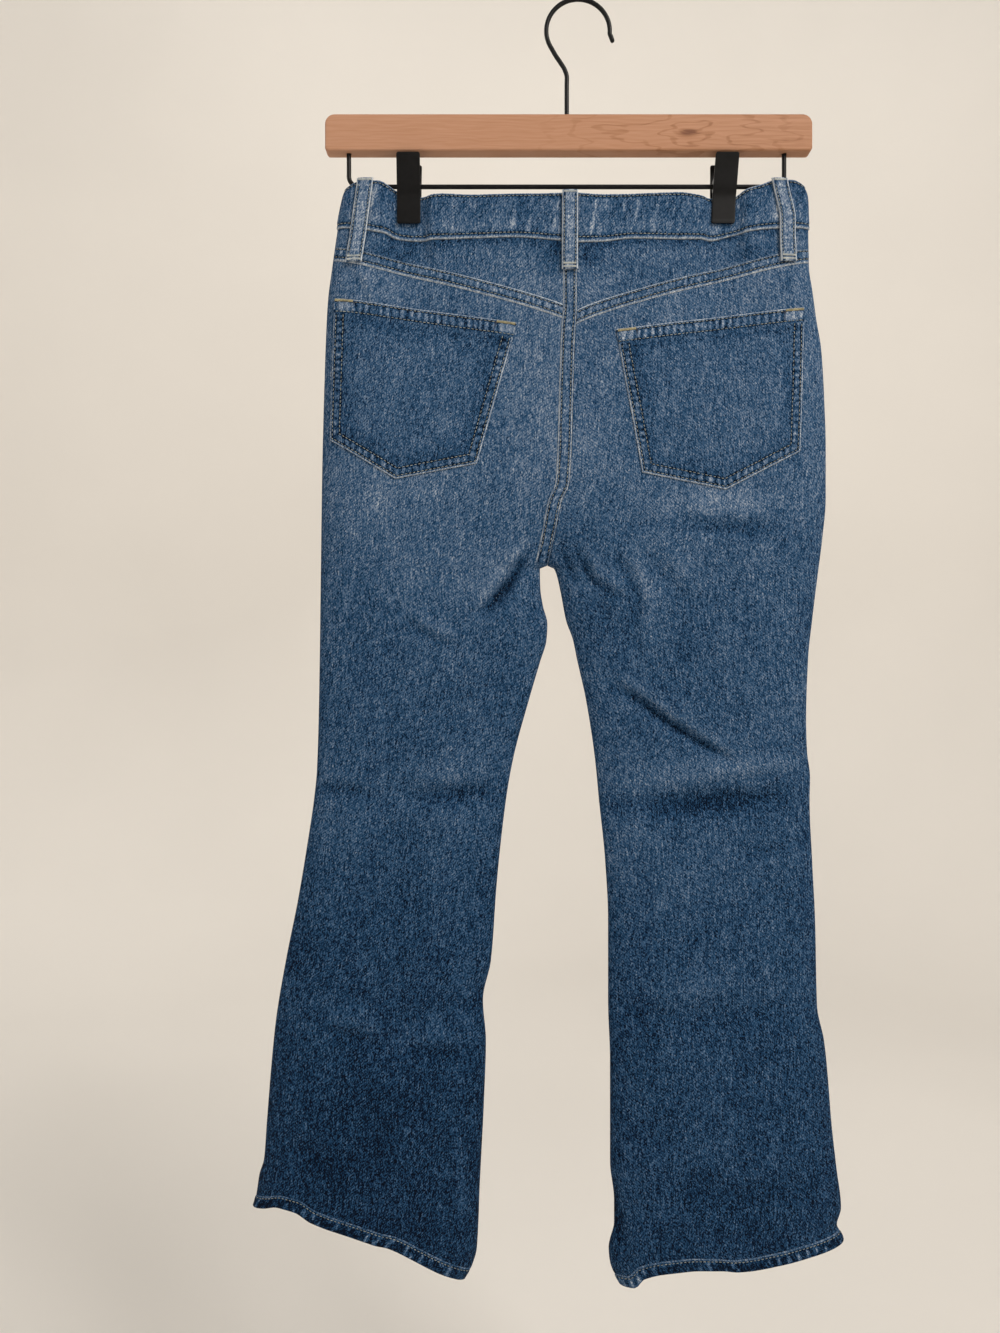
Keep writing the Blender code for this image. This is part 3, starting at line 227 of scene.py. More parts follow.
# Sewing: how far each row lies from its piece's first edge
HEM_ROW = 1.9
STRAP_ROWS = (1.9, 8.1)
LOOP_ROWS = (1.7, 10.3)
POCKET_ROWS = (2.0, 7.6)
POCKET_BAND_ROWS = (1.9, POCKET_BAND - 1.7)
BAND_TALL = 34.0
BAND_ROWS = (2.0, 30.6)
TACK_LONG, TACK_SIDE_LONG, TACK_PITCH = 14.0, 7.5, 0.62   # along a pocket's top, and down from its end
HEM_THREAD_LIFT = 0.12
CLOSE_SEAM = 0.05          # gap between two walls of cloth in one surface
SEAT_STRAP_END = 2.50      # v at which the felled centre-back seam ends, just above the crotch


def table_column(rows, names, name):
    """One named column of a table, as numbers."""
    return np.array([row[names.index(name)] for row in rows], dtype=float)


def smooth(t, xs, ys):
    """A smooth curve through the points (xs, ys), with no overshoot between them."""
    xs, ys = np.asarray(xs, float), np.asarray(ys, float)
    if xs[0] > xs[-1]:
        xs, ys = xs[::-1], ys[::-1]
    step = np.diff(xs)
    rise = np.diff(ys) / step
    same_way = rise[:-1] * rise[1:] > 0
    total = np.where(same_way, rise[:-1] + rise[1:], 1.0)
    slope = np.concatenate(([rise[0]], np.where(same_way, 2 * rise[:-1] * rise[1:] / total, 0.0), [rise[-1]]))
    t = np.clip(t, xs[0], xs[-1])
    i = np.clip(np.searchsorted(xs, t, side="right") - 1, 0, len(step) - 1)
    s = (t - xs[i]) / step[i]
    return ((1 + 2 * s) * (1 - s) ** 2 * ys[i] + s * (1 - s) ** 2 * step[i] * slope[i]
            + s * s * (3 - 2 * s) * ys[i + 1] - s * s * (1 - s) * step[i] * slope[i + 1])


def row_value(name, v):
    return smooth(v, table_column(ROWS, ROW_COLUMNS, "v"), table_column(ROWS, ROW_COLUMNS, name))


def waist_value(name, u):
    return smooth(u, table_column(WAIST, WAIST_COLUMNS, "u"), table_column(WAIST, WAIST_COLUMNS, name))


def along(curve, z):
    """x of a seam at height z."""
    heights, places = zip(*curve)
    return smooth(z, heights, places)


def inner_x(side, z):
    """x of the centre seam above the crotch, and of the inseam below it."""
    return np.where(z >= CROTCH_Z, along(CENTRE_SEAM, z), along(INSEAM[side], z))


def row_height(side, u, v):
    """Height of the back's row v at u."""
    z_out, z_in = row_value(side + "_out", v), row_value(side + "_in", v)
    bow = 4 * row_value(side + "_bow", v) * u * (1 - u)
    z = z_in + (z_out - z_in) * (1 - u) ** row_value("curl", v) + bow
    seam_out, seam_in = row_value(side + "_out", 0.0), row_value(side + "_in", 0.0)
    plain_seam = seam_in + (seam_out - seam_in) * (1 - u) ** row_value("curl", 0.0)
    seam, top = waist_value(side + "_seam", u), waist_value(side + "_top", u)
    fade = np.clip(1 - v / V_YOKE_TOP, 0, 1) ** 2
    return np.where(v < 0, seam + (top - seam) * v / V_BAND_TOP, z + (seam - plain_seam) * fade)


def fold_depth(face, x, z):
    """How far the folds push the cloth out at a place."""
    depth = np.zeros_like(x)
    for fold_x, fold_z, slope, length, width, height in FOLDS[face]:
        c, s = math.cos(math.radians(slope)), math.sin(math.radians(slope))
        run = (x - fold_x) * c + (z - fold_z) * s
        across = (z - fold_z) * c - (x - fold_x) * s
        depth += height * np.exp(-(run / length) ** 2 - (across / width) ** 2)
    return depth


def garment(side, face, u, v):
    """Points of the cloth's outer face, in millimetres."""
    u, v = np.broadcast_arrays(np.asarray(u, float), np.asarray(v, float))
    z_out, z_in = row_value(side + "_out", v), row_value(side + "_in", v)
    x_out = along(OUTSEAM[side], z_out)
    x = x_out + (inner_x(side, z_in) - x_out) * u
    z = row_height(side, u, v)
    if face == "front":
        z = z - FRONT_DROP * u ** 2 * np.clip(1 - v / V_CROTCH, 0, 1) ** 1.5
    z = z + hem_wave(side, face, u, v)
    half = row_value(face, v) + WAIST_SLACK * u ** 2 * np.clip(1 - v, 0, 1)
    reach = GRIP_REACH * (1 + np.clip(v, 0, 1.2))
    steep = 2 + 6 * np.clip(1 - v / 0.3, 0, 1)
    pinch = np.exp(-(np.abs(x - GRIP_X[side]) / reach) ** steep) * np.clip(1 - v / 1.2, 0, 1) ** 2
    half = half + (PINCH_HALF - half) * pinch
    edge = row_value("edge", v)
    closed = np.clip((CLOSE_TOP - z_in) / (CLOSE_TOP - CROTCH_Z), 0, 1) ** 2
    shape = np.sqrt(1 - np.clip(1 - 2 * u, 0, 1) ** edge)
    shape = shape * np.sqrt(1 - closed * np.clip(2 * u - 1, 0, 1) ** edge)
    y = SEAM_HALF + (half + fold_depth(face, x, z) + crease_depth(face, x, z)) * shape
    return np.stack([x, -y if face == "back" else y, z], axis=-1)


def outward(side, face, u, v):
    """Unit vectors out of the cloth. On a seam they lie in the seam's plane, so the walls stay parallel."""
    u, v = np.broadcast_arrays(np.asarray(u, float), np.asarray(v, float))
    tiny = 1e-4
    across = garment(side, face, np.clip(u + tiny, 0, 1), v) - garment(side, face, np.clip(u - tiny, 0, 1), v)
    down = garment(side, face, u, v + tiny) - garment(side, face, u, v - tiny)
    n = np.cross(across, down) * (-1 if (side == "left") == (face == "back") else 1)
    on_side_seam = (u < 1e-6) | ((u > 0.999) & (v >= V_CROTCH))
    on_centre = (u > 0.999) & (v <= V_CROTCH)
    n[..., 1] = np.where(on_side_seam, 0, n[..., 1])
    n[..., 0] = np.where(on_centre, 0, n[..., 0])
    at_crotch = on_centre & (v >= V_CROTCH)
    n[at_crotch] = (0, 0, -1)
    return n / np.linalg.norm(n, axis=-1, keepdims=True)


def moved_out(side, face, u, v, lift):
    """Points that lie this far outside the cloth's outer face."""
    return garment(side, face, u, v) + outward(side, face, u, v) * np.asarray(lift)[..., None]


def locate(side, face, x, z):
    """The u and v at which the cloth passes a place x, z."""
    v = (LOCATE_FROM - z) * V_PER_MM
    u = np.full_like(x, 0.5)
    for _ in range(LOCATE_ROUNDS):
        x_out = along(OUTSEAM[side], row_value(side + "_out", v))
        x_in = inner_x(side, row_value(side + "_in", v))
        u = np.clip((x - x_out) / (x_in - x_out), 0, 1)
        height = row_height(side, u, v)
        if face == "front":
            height = height - FRONT_DROP * u ** 2 * np.clip(1 - v / V_CROTCH, 0, 1) ** 1.5
        v = v + 0.6 * (height - z) * V_PER_MM
    return u, v


def on_cloth(side, face, x, z, lift):
    """Points at x, z, this far outside the cloth."""
    x, z = np.broadcast_arrays(np.asarray(x, float), np.asarray(z, float))
    u, v = locate(side, face, x, z)
    return moved_out(side, face, u, v, np.broadcast_to(lift, x.shape))


def on_either_side(face, x, z, lift):
    """The same, for a piece that crosses the centre."""
    x, z = np.broadcast_arrays(np.asarray(x, float), np.asarray(z, float))
    left = on_cloth("left", face, x, z, lift)
    right = on_cloth("right", face, x, z, lift)
    return np.where((x < along(CENTRE_SEAM, z))[..., None], left, right)


# -------------------- creases, dye and painted shade

# Creases: path of x, z, half width, depth, and how high the ridge beside it stands, as a part of the depth.
# A positive width puts the ridge on the left of the path as it runs on, a negative one on the right.
CREASE_WIDTH, CREASE_DEPTH = 0.8, 1.45       # all widths and depths are taken times these
CREASES = (
    ("back", ((-39, -424), (-52, -447), (-66, -464), (-75, -473)), -4.6, -3.4, 0.8),
    ("back", ((-47, -430), (-58, -452), (-80, -470)), 9.0, -1.2, 0.3),
    ("back", ((-134, -475), (-110, -491), (-90, -497)), 4.5, -1.2, 0.8),
    ("back", ((-14, -422), (-7, -436), (-2, -449)), 3.2, -1.6, 0.5),
    ("back", ((-3, -418), (2, -432), (10, -446), (24, -456), (38, -461)), 4.2, -1.7, 0.7),
    ("back", ((24, -424), (36, -440), (44, -462), (40, -500)), 6.0, -1.4, 0.6),
    ("back", ((46, -419), (73, -453), (92, -470)), 8.0, -1.1, 0.5),
    ("back", ((25, -524), (45, -537), (68, -554), (98, -573), (118, -584)), 3.6, -2.5, 0.7),
    ("back", ((19, -620), (61, -617), (98, -614), (137, -610), (174, -603)), 11.0, -2.2, 0.5),
    ("back", ((90, -600), (135, -596), (176, -590)), 6.0, -1.0, 0.5),
    ("back", ((-133, -613), (-98, -609), (-63, -607)), 9.0, -1.7, 0.5),
    ("back", ((-200, -603), (-177, -605), (-155, -610)), 6.0, -1.4, 0.5),
    ("back", ((-193, -788), (-172, -792), (-152, -797)), 8.0, -1.4, 0.7),
    ("back", ((-130, -802), (-110, -804), (-88, -805)), 8.0, -1.4, 0.7),
    ("back", ((-70, -764), (-84, -768), (-98, -772)), 7.0, -1.2, 0.6),
    ("back", ((31, -773), (91, -779), (160, -775)), 13.0, -1.1, 0.4),
    ("back", ((73, -401), (99, -406), (126, -408), (150, -404)), 8.0, -1.3, 0.7),
    ("back", ((60, -395), (40, -405), (30, -420)), 8.0, -0.7, 0.5),
    ("back", ((-177, -207), (-165, -222), (-160, -240)), 3.2, -0.8, 0.8),
    ("back", ((166, -210), (158, -224), (140, -234)), 4.0, -0.8, 0.8),
    ("back", ((-94, -840), (-89, -916), (-84, -954)), 6.0, 1.1, 0.4),
    ("back", ((25, -900), (29, -930), (34, -956)), 5.0, -1.8, 0.5),
    ("back", ((-230, -870), (-200, -880), (-160, -886)), 10.0, -0.9, 0.5),
    ("back", ((60, -900), (120, -912), (180, -905)), 14.0, -0.8, 0.5),
    ("back", ((180, -640), (150, -650), (110, -652)), 9.0, -0.8, 0.5),
    ("front", ((-40, -430), (-60, -447), (-84, -455)), -4.5, -2.4, 0.7),
    ("front", ((-22, -440), (-40, -462), (-50, -490)), 4.5, -1.8, 0.6),
    ("front", ((-2, -432), (14, -450), (38, -462)), 4.5, -2.2, 0.7),
    ("front", ((2, -450), (10, -474), (14, -500)), -4.0, -1.6, 0.6),
    ("front", ((-40, -395), (-80, -404), (-130, -398)), 8.0, -1.2, 0.6),
    ("front", ((24, -392), (70, -402), (120, -396)), 8.0, -1.2, 0.6),
    ("front", ((-170, -592), (-120, -600), (-70, -606)), 10.0, -2.0, 0.5),
    ("front", ((-160, -560), (-120, -574), (-84, -590)), 4.5, -2.0, 0.8),
    ("front", ((40, -600), (100, -594), (160, -586)), 10.0, -2.0, 0.5),
    ("front", ((150, -548), (110, -566), (64, -580)), -4.5, -1.8, 0.8),
    ("front", ((-200, -756), (-140, -762), (-90, -760)), 11.0, -1.3, 0.5),
    ("front", ((50, -790), (104, -786), (160, -796)), 11.0, -1.3, 0.5),
    ("front", ((-214, -880), (-150, -888), (-100, -900)), 12.0, -1.1, 0.5),
    ("front", ((60, -900), (120, -892), (170, -900)), 12.0, -1.0, 0.5),
)

# Waves of the hem's edge: u and how far the row is lifted at that place.
HEM_WAVES = {
    ("back", "left"): ((0, 3.3), (0.06, 6.5), (0.135, 10.7), (0.208, 10.4), (0.292, 5.6), (0.395, 3.7),
                       (0.58, 3.2), (0.655, 4.7), (0.77, 3.0), (0.885, 1.0), (1, 0)),
    ("back", "right"): ((0, 1.2), (0.165, 0.5), (0.288, -0.7), (0.4, -1.1), (0.48, -0.1), (0.56, 3.3),
                        (0.715, 7.4), (0.825, 7.9), (0.897, 5.9), (0.94, -0.8), (0.98, -0.3), (1, 0)),
    ("front", "left"): ((0, 3.3), (0.2, 4.5), (0.45, -2.0), (0.7, 2.5), (0.9, -1.5), (1, 0)),
    ("front", "right"): ((0, 1.2), (0.25, -2.5), (0.5, 3.0), (0.75, -1.5), (1, 0)),
}
HEM_WAVES_FROM = 6.6       # v at which the waves begin
HEM_TALL = 9.3

# How faded the indigo is down the leg, 0 deep and 1 worn white.
FADE_DOWN = ((-0.35, 0.49), (0.0, 0.51), (0.45, 0.54), (1.05, 0.54), (1.75, 0.54), (2.52, 0.49), (3.18, 0.44),
             (3.78, 0.42), (4.32, 0.41), (4.98, 0.35), (5.86, 0.29), (6.68, 0.23), (7.66, 0.18), (7.78, 0.17))
LEG_FADE = {"left": -0.005, "right": 0.022}  # how much each lower leg differs from that, down the leg
# Paler and darker places, part worn fade and part painted light: the dark spots under the waistband by the
# loops, round the crotch, under the right pocket, behind the knees and on the left calf are painted shade,
# and the pale spots just above the ones under the right pocket, behind the right knee and on the left calf
# are painted highlight. face, x, z, half width, half height, amount.
FADE_AND_SHADE_SPOTS = (
    ("back", -30.0, -300.0, 26.0, 60.0, 0.05),
    ("back", 14.0, -290.0, 22.0, 60.0, 0.01),
    ("back", -90.0, -430.0, 60.0, 40.0, 0.05),
    ("back", 120.0, -385.0, 40.0, 9.0, 0.10),
    ("back", 110.0, -404.0, 45.0, 7.0, -0.07),
    ("back", -140.0, -380.0, 50.0, 14.0, 0.05),
    ("back", -55.0, -470.0, 26.0, 30.0, -0.07),
    ("back", 20.0, -470.0, 22.0, 34.0, -0.06),
    ("back", -2.0, -425.0, 26.0, 14.0, -0.08),
    ("back", 90.0, -212.0, 60.0, 14.0, -0.04),
    ("back", 100.0, -617.0, 70.0, 12.0, -0.09),
    ("back", 100.0, -590.0, 60.0, 12.0, 0.04),
    ("back", -80.0, -608.0, 30.0, 9.0, -0.07),
    ("back", -132.0, -613.0, 12.0, 12.0, 0.08),
    ("back", -170.0, -640.0, 30.0, 60.0, 0.03),
    ("back", 40.0, -650.0, 26.0, 50.0, 0.04),
    ("back", -160.0, -790.0, 36.0, 12.0, 0.06),
    ("back", -160.0, -840.0, 60.0, 40.0, -0.05),
    ("back", -17.0, -198.0, 14.0, 8.0, -0.18),
    ("back", -145.0, -196.0, 24.0, 9.0, -0.20),
    ("back", 6.0, -199.0, 9.0, 8.0, -0.18),
    ("back", 134.0, -196.0, 20.0, 8.0, -0.18),
    ("front", -100.0, -440.0, 50.0, 60.0, 0.12),
    ("front", 92.0, -440.0, 50.0, 60.0, 0.12),
    ("front", -126.0, -590.0, 36.0, 46.0, 0.10),
    ("front", 100.0, -590.0, 36.0, 46.0, 0.10),
)

LATTICE_SIDE = 64
LATTICE = np.random.default_rng(20).uniform(-1, 1, (LATTICE_SIDE, LATTICE_SIDE))


def uneven(a, b, seed):
    """Smooth noise from -1 to 1, one bump for each unit of a and b."""
    a, b = np.broadcast_arrays(np.asarray(a, float) + 17.3 * seed, np.asarray(b, float) + 5.9 * seed)
    i, j = np.floor(a).astype(int), np.floor(b).astype(int)
    s, t = ease(a - i), ease(b - j)

    def at(di, dj):
        return LATTICE[(i + di) % LATTICE_SIDE, (j + dj) % LATTICE_SIDE]

    return (at(0, 0) * (1 - s) + at(1, 0) * s) * (1 - t) + (at(0, 1) * (1 - s) + at(1, 1) * s) * t


def ease(t):
    """From 0 to 1 with a soft start and end."""
    return t * t * (3 - 2 * t)


def hump(off, reach):
    """1 where off is 0, and fading away over this reach."""
    return np.exp(-(off / reach) ** 2)


def rolled(from_edge, reach):
    """How far a turned edge has dropped: 0 beyond its reach, 1 at the edge itself."""
    roll = 1 - np.clip(from_edge / reach, 0, 1)
    return 1 - np.sqrt(1 - roll * roll)


def path_distance(path, x, z):
    """Distance from a path, positive on its left, and how far along it, 0 to 1, the nearest place is."""
    path = np.array(path, float)
    steps = np.diff(path, axis=0)
    lengths = np.hypot(steps[:, 0], steps[:, 1])
    nearest, left, run = np.full(x.shape, 1e9), np.ones(x.shape), np.zeros(x.shape)
    for i, (step, length) in enumerate(zip(steps, lengths)):
        off_x, off_z = x - path[i, 0], z - path[i, 1]
        t = np.clip((off_x * step[0] + off_z * step[1]) / length ** 2, 0, 1)
        gap = np.hypot(off_x - t * step[0], off_z - t * step[1])
        nearer = gap < nearest
        nearest = np.where(nearer, gap, nearest)
        left = np.where(nearer, np.where(step[0] * off_z - step[1] * off_x < 0, -1.0, 1.0), left)
        run = np.where(nearer, (lengths[:i].sum() + t * length) / lengths.sum(), run)
    return nearest * left, run


def crease_depth(face, x, z):
    """Creases and the cloth's own unevenness, in millimetres outwards."""
    depth = np.zeros(x.shape)
    for crease_face, path, width, height, rise in CREASES:
        if crease_face != face:
            continue
        off, run = path_distance(path, x, z)
        s = off / (CREASE_WIDTH * width)
        fade = np.clip(4 * run * (1 - run), 0, 1) ** 0.6
        depth += CREASE_DEPTH * height * fade * (np.exp(-s * s) - rise * hump(s - 1.9, 1.4))
    seed = 3 if face == "back" else 8
    depth += 0.55 * uneven(x / 34, z / 46, seed) + 0.22 * uneven(x / 13, z / 19, seed + 1)
    return depth


def crease_shade_line(face, x, z):
    """Painted shade along the bottom of each sharp crease: how much darker it is."""
    dark = np.zeros(x.shape)
    for crease_face, path, width, height, _ in CREASES:
        if crease_face == face and height <= -1.5 and abs(width) <= 5:
            off, run = path_distance(path, x, z)
            dark += -0.07 * height * np.clip(3 * run * (1 - run), 0, 1) * hump(off, 1.5)
    return np.clip(dark, 0, 0.24)


def hem_wave(side, face, u, v):
    """How far the rows near the hem are lifted: its edge waves, and its sewn line runs close above it."""
    wave = smooth(u, *zip(*HEM_WAVES[face, side]))
    near = ease(np.clip((v - HEM_WAVES_FROM) / (V_HEM_TOP - HEM_WAVES_FROM), 0, 1))
    at_edge = np.clip((v - V_HEM_TOP) / (V_HEM - V_HEM_TOP), 0, 1)
    rolled_up = row_value(side + "_out", V_HEM_TOP) - row_value(side + "_out", V_HEM) - HEM_TALL
    return near * (wave - rolled_up * (1 - at_edge))


def dye_and_shade(side, face, u, v, x, z):
    """How pale the cloth looks at a place: the dye's fade, with painted shade and highlight laid in. The tops
    of its creases are paler, part rubbed wear and part painted highlight.
    """
    tone = smooth(v, *zip(*FADE_DOWN)) + LEG_FADE[side] * np.clip(v - 3, 0, 3)
    for spot_face, spot_x, spot_z, wide, tall, amount in FADE_AND_SHADE_SPOTS:
        if spot_face == face:
            tone = tone + amount * np.exp(-((x - spot_x) / wide) ** 2 - ((z - spot_z) / tall) ** 2)
    tone = tone - 0.03 * hump(u, 0.05) - 0.03 * hump(1 - u, 0.05) * (v > V_CROTCH)
    # Painted shade in a band just below the waistband; the cloth a little paler down to the seat
    tone = tone - 0.20 * hump(v, 0.035) * (v > 0) + 0.03 * np.clip(1 - v / 1.5, 0, 1)
    seed = 11 if face == "back" else 15
    tone = tone + 0.02 * uneven(x / 30, z / 60, seed) + 0.02 * uneven(x / 9, z / 26, seed + 1)
    # Crests of the creases and of the cloth's bumps paler, part wear and part painted highlight; troughs
    # darker, painted shade, and sharp crease lines darker still, painted shade
    tone = tone + np.clip(0.06 * crease_depth(face, x, z), -0.2, 0.12) - crease_shade_line(face, x, z)
    return tone + 0.02 * uneven(x / 4, z / 30, seed + 2)


# -------------------- cloth pieces

LAYER = 1.3                # one layer of denim
EDGE_REACH, EDGE_DROP = 1.1, 0.8        # a turned edge rolls down over this width, by this much
GROOVE_HALF, GROOVE_DEEP = 0.7, 0.45    # what a row of stitches pulls in
PUCKER = 5.4               # length of the puckers between rows
INSIDE_FADE = 0.62
POCKET_FADE = (0.475, 0.505)            # left, right
LOOP_FADE = 0.70
OPEN_WIDE = 200.0          # width given for a sewn edge whose other edge is out of reach
SEAT_PUCKERS, YOKE_PUCKERS = 0.16, 0.22
POCKET_PUCKERS, POCKET_BAND_PUCKERS, LOOP_PUCKERS = 0.34, 0.45, 0.12
STRAP_LIFT = LAYER * 0.75  # the felled seams stand this far off the panels
RISE = 0.12                # a piece lies this far off the one beneath
ROPE_STEP, TICK_STEP = 6.5, 7.6         # the hem's roping, and the worn ticks across it
THREAD_SUNK = 0.1          # how deep a stitch lies in the cloth
# Stitch to stitch, in each kind of seam
PITCH = {"hems": 2.9, "seams": 3.0, "pockets": 3.1, "pocket_tops": 3.0, "loops": 2.8, "waistband": 3.1,
         "fly": 3.1}


def seam_relief(across, wide, rows, run, seed, puckers):
    """Height and tone over a sewn band: across is the distance from its first edge, and run is along it. Its
    turned edges are paler with wear, its stitch grooves darker with painted shade, and its puckers paler on
    the crests and darker in the hollows, part wear and part painted shade.
    """
    edge = np.minimum(across, wide - across)
    groove = sum(hump(across - row, GROOVE_HALF) for row in rows)
    between = np.clip((across - rows[0]) / 1.2, 0, 1) * np.clip((rows[-1] - across) / 1.2, 0, 1)
    turn = run / PUCKER + 0.45 * uneven(run / 11, across / 30, seed)
    pucker = np.sin(2 * math.pi * turn) * (0.65 + 0.35 * uneven(run / 16, across / 9, seed + 1))
    height = -EDGE_DROP * rolled(edge, EDGE_REACH) - GROOVE_DEEP * groove + puckers * pucker * between
    # Painted shade in the stitch grooves; pucker crests paler and hollows darker, part wear and part painted
    # shade; pale worn turned edges
    tone = 0.95 * puckers * pucker * between - 0.56 * groove + 0.50 * hump(edge, 1.15) + 0.02 * between
    return height, tone


def run_lengths(points, axis):
    """Distance along a grid of points, along one of its axes."""
    step = np.linalg.norm(np.diff(points, axis=axis), axis=-1)
    start = np.zeros_like(np.take(step, [0], axis=axis))
    return np.concatenate([start, np.cumsum(step, axis=axis)], axis=axis)


def flat_map(points, shift):
    """The cloth's own flat coordinates in metres: across and down from the middle of its top."""
    across = run_lengths(points, 1)
    across = across - across[:, across.shape[1] // 2][:, None]
    down = run_lengths(points, 0)
    return np.stack([across * MM + shift, -down * MM + 0.7 * shift], axis=-1)


def wall_quads(rows, columns, ring):
    """The quads of a closed wall between two grids, each corner as its layer, row and column."""
    last = columns if ring else columns - 1
    i, j = (a.ravel() for a in np.meshgrid(np.arange(rows - 1), np.arange(last), indexing="ij"))
    outer, inner = 0 * i, 0 * i + 1
    quads = [((outer, i, j), (outer, i, j + 1), (outer, i + 1, j + 1), (outer, i + 1, j)),
             ((inner, i + 1, j), (inner, i + 1, j + 1), (inner, i, j + 1), (inner, i, j))]
    j = np.arange(last)
    outer, inner = 0 * j, 0 * j + 1
    for i, turn in ((0 * j, 1), (0 * j + rows - 1, -1)):
        quads.append(((outer, i, j), (inner, i, j), (inner, i, j + 1), (outer, i, j + 1))[::turn])
    if not ring:
        i = np.arange(rows - 1)
        outer, inner = 0 * i, 0 * i + 1
        for j, turn in ((0 * i, -1), (0 * i + columns - 1, 1)):
            quads.append(((outer, i, j), (inner, i, j), (inner, i + 1, j), (outer, i + 1, j))[::turn])
    return np.concatenate([np.array(quad).transpose(2, 0, 1) for quad in quads])


def closed_wall(name, outer, inner, tone, material, ring=False, shift=0.0):
    """A closed wall of cloth between two grids of points, which keeps its fade with its painted shade and
    highlight, inside and flat map.

    shift moves the weave, so that no two pieces have the same one.
    """
    rows, columns = outer.shape[:2]
    wrapped = np.concatenate([outer, outer[:, :1]], axis=1) if ring else outer
    flat = flat_map(wrapped, shift)
    layer, i, j = np.moveaxis(wall_quads(rows, columns, ring), -1, 0)
    faces = layer * rows * columns + i * columns + j % columns
    points = np.concatenate([outer.reshape(-1, 3), inner.reshape(-1, 3)]) * MM
    a, b, c, d = (points[faces[:, k]] for k in range(4))
    volume = np.einsum("ij,ij->i", a, np.cross(b, c)).sum() + np.einsum("ij,ij->i", a, np.cross(c, d)).sum()
    places = flat[i, j]
    if volume < 0:
        faces, places = faces[:, ::-1], places[:, ::-1]
    mesh = bpy.data.meshes.new(name)
    mesh.from_pydata(points.tolist(), [], faces.tolist())
    cloth = mesh.uv_layers.new(name="cloth")
    cloth.data.foreach_set("uv", places.reshape(-1))
    tones = np.concatenate([tone.ravel(), np.full(tone.size, INSIDE_FADE)])
    inside = np.concatenate([np.zeros(tone.size), np.ones(tone.size)])
    # The fade attribute keeps the tone: the dye's fade with painted shade and highlight in it
    for key, values in (("fade", tones), ("inside", inside)):
        mesh.attributes.new(key, "FLOAT", "POINT").data.foreach_set("value", values.astype(np.float32))
    mesh.polygons.foreach_set("use_smooth", np.ones(len(mesh.polygons), bool))
    mesh.set_sharp_from_angle(angle=math.radians(55))
    return place_piece(name, mesh, material)


def place_piece(name, mesh, material):
    """The mesh as an object of one material. What stands for a cloth node is named for it."""
    piece = bpy.data.objects.new(name + "_cloth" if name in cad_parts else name, mesh)
    mesh.materials.clear()
    mesh.materials.append(material)
    bpy.context.scene.collection.objects.link(piece)
    return piece


def settle(piece, slot, *nodes):
    """A finished piece stands for its nodes, which are hidden, and rides with the object. slot is not used.
    """
    if nodes:
        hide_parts(*nodes)
    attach(piece, "root")
    return piece


def close_steps(start, end, step, fine):
    """Places from start to end about a step apart, with extra ones close beside each fine place."""
    places = list(np.linspace(start, end, max(2, round(abs(end - start) / step) + 1)))
    for place in fine:
        places += [place - 0.9, place - 0.45, place, place + 0.45, place + 0.9]
    places = np.array(sorted(p for p in places if start <= p <= end))
    return places[np.concatenate([[True], np.diff(places) > 0.2])]


U_SIDE = np.array([0, 0.002, 0.006, 0.012, 0.02, 0.03, 0.042])
U_IN = np.array([0.965, 0.975, 0.983, 0.989, 0.994, 0.997])
PANEL_U = np.concatenate([U_SIDE, np.linspace(0.055, 0.955, 66), U_IN, [1.0]])


def panel_grid(v):
    """A panel's u and v over these rows. Above the crotch it stops just short of the centre."""
    grid_u, grid_v = np.meshgrid(PANEL_U, v)
    return np.where((grid_u > 0.999) & (grid_v <= V_CROTCH), 1 - SEAT_EDGE, grid_u), grid_v


def panel_wall(name, side, face, u, v, shift, top=0.0):
    """A flat-cut piece of the garment itself."""
    top = np.broadcast_to(top, u.shape)
    outer = moved_out(side, face, u, v, top)
    inner = moved_out(side, face, u, v, top - LAYER)
    tone = dye_and_shade(side, face, u, v, outer[..., 0], outer[..., 2])
    return closed_wall(name, outer, inner, tone, DENIM, shift=shift)


def leg_rows():
    """v of the rows below the waist's part of a panel: the crotch, then down to the hem."""
    return [V_CROTCH], np.linspace(2.545, V_HEM_TOP - CLOSE_SEAM * V_PER_MM, 196)


def make_panels():
    """Yokes, back panels and front panels, cut on the garment's own surface."""
    seam_v = (V_YOKE_TOP + V_YOKE_FOOT) / 2
    half = CLOSE_SEAM * V_PER_MM
    top = WAIST_SEAM_HALF * V_PER_MM
    for k, side in enumerate(("left", "right")):
        yoke = panel_wall("yoke_" + side, side, "back", *panel_grid(np.linspace(top, seam_v - half, 26)),
                          0.31 + 0.4 * k)
        settle(yoke, "denim", "yoke_" + side)
        rows = np.concatenate([np.linspace(seam_v + half, 2.50, 84), *leg_rows()])
        back = panel_wall("back_panel_" + side, side, "back", *panel_grid(rows), 0.13 + 0.9 * k)
        settle(back, "denim", "back_panel_" + side)
        make_front(side, k)


def scoop_edge(v):
    """u of the front pocket's scooped mouth at v."""
    return SCOOP_U * np.clip(1 - (v / SCOOP_V) ** 2, 0, 1)


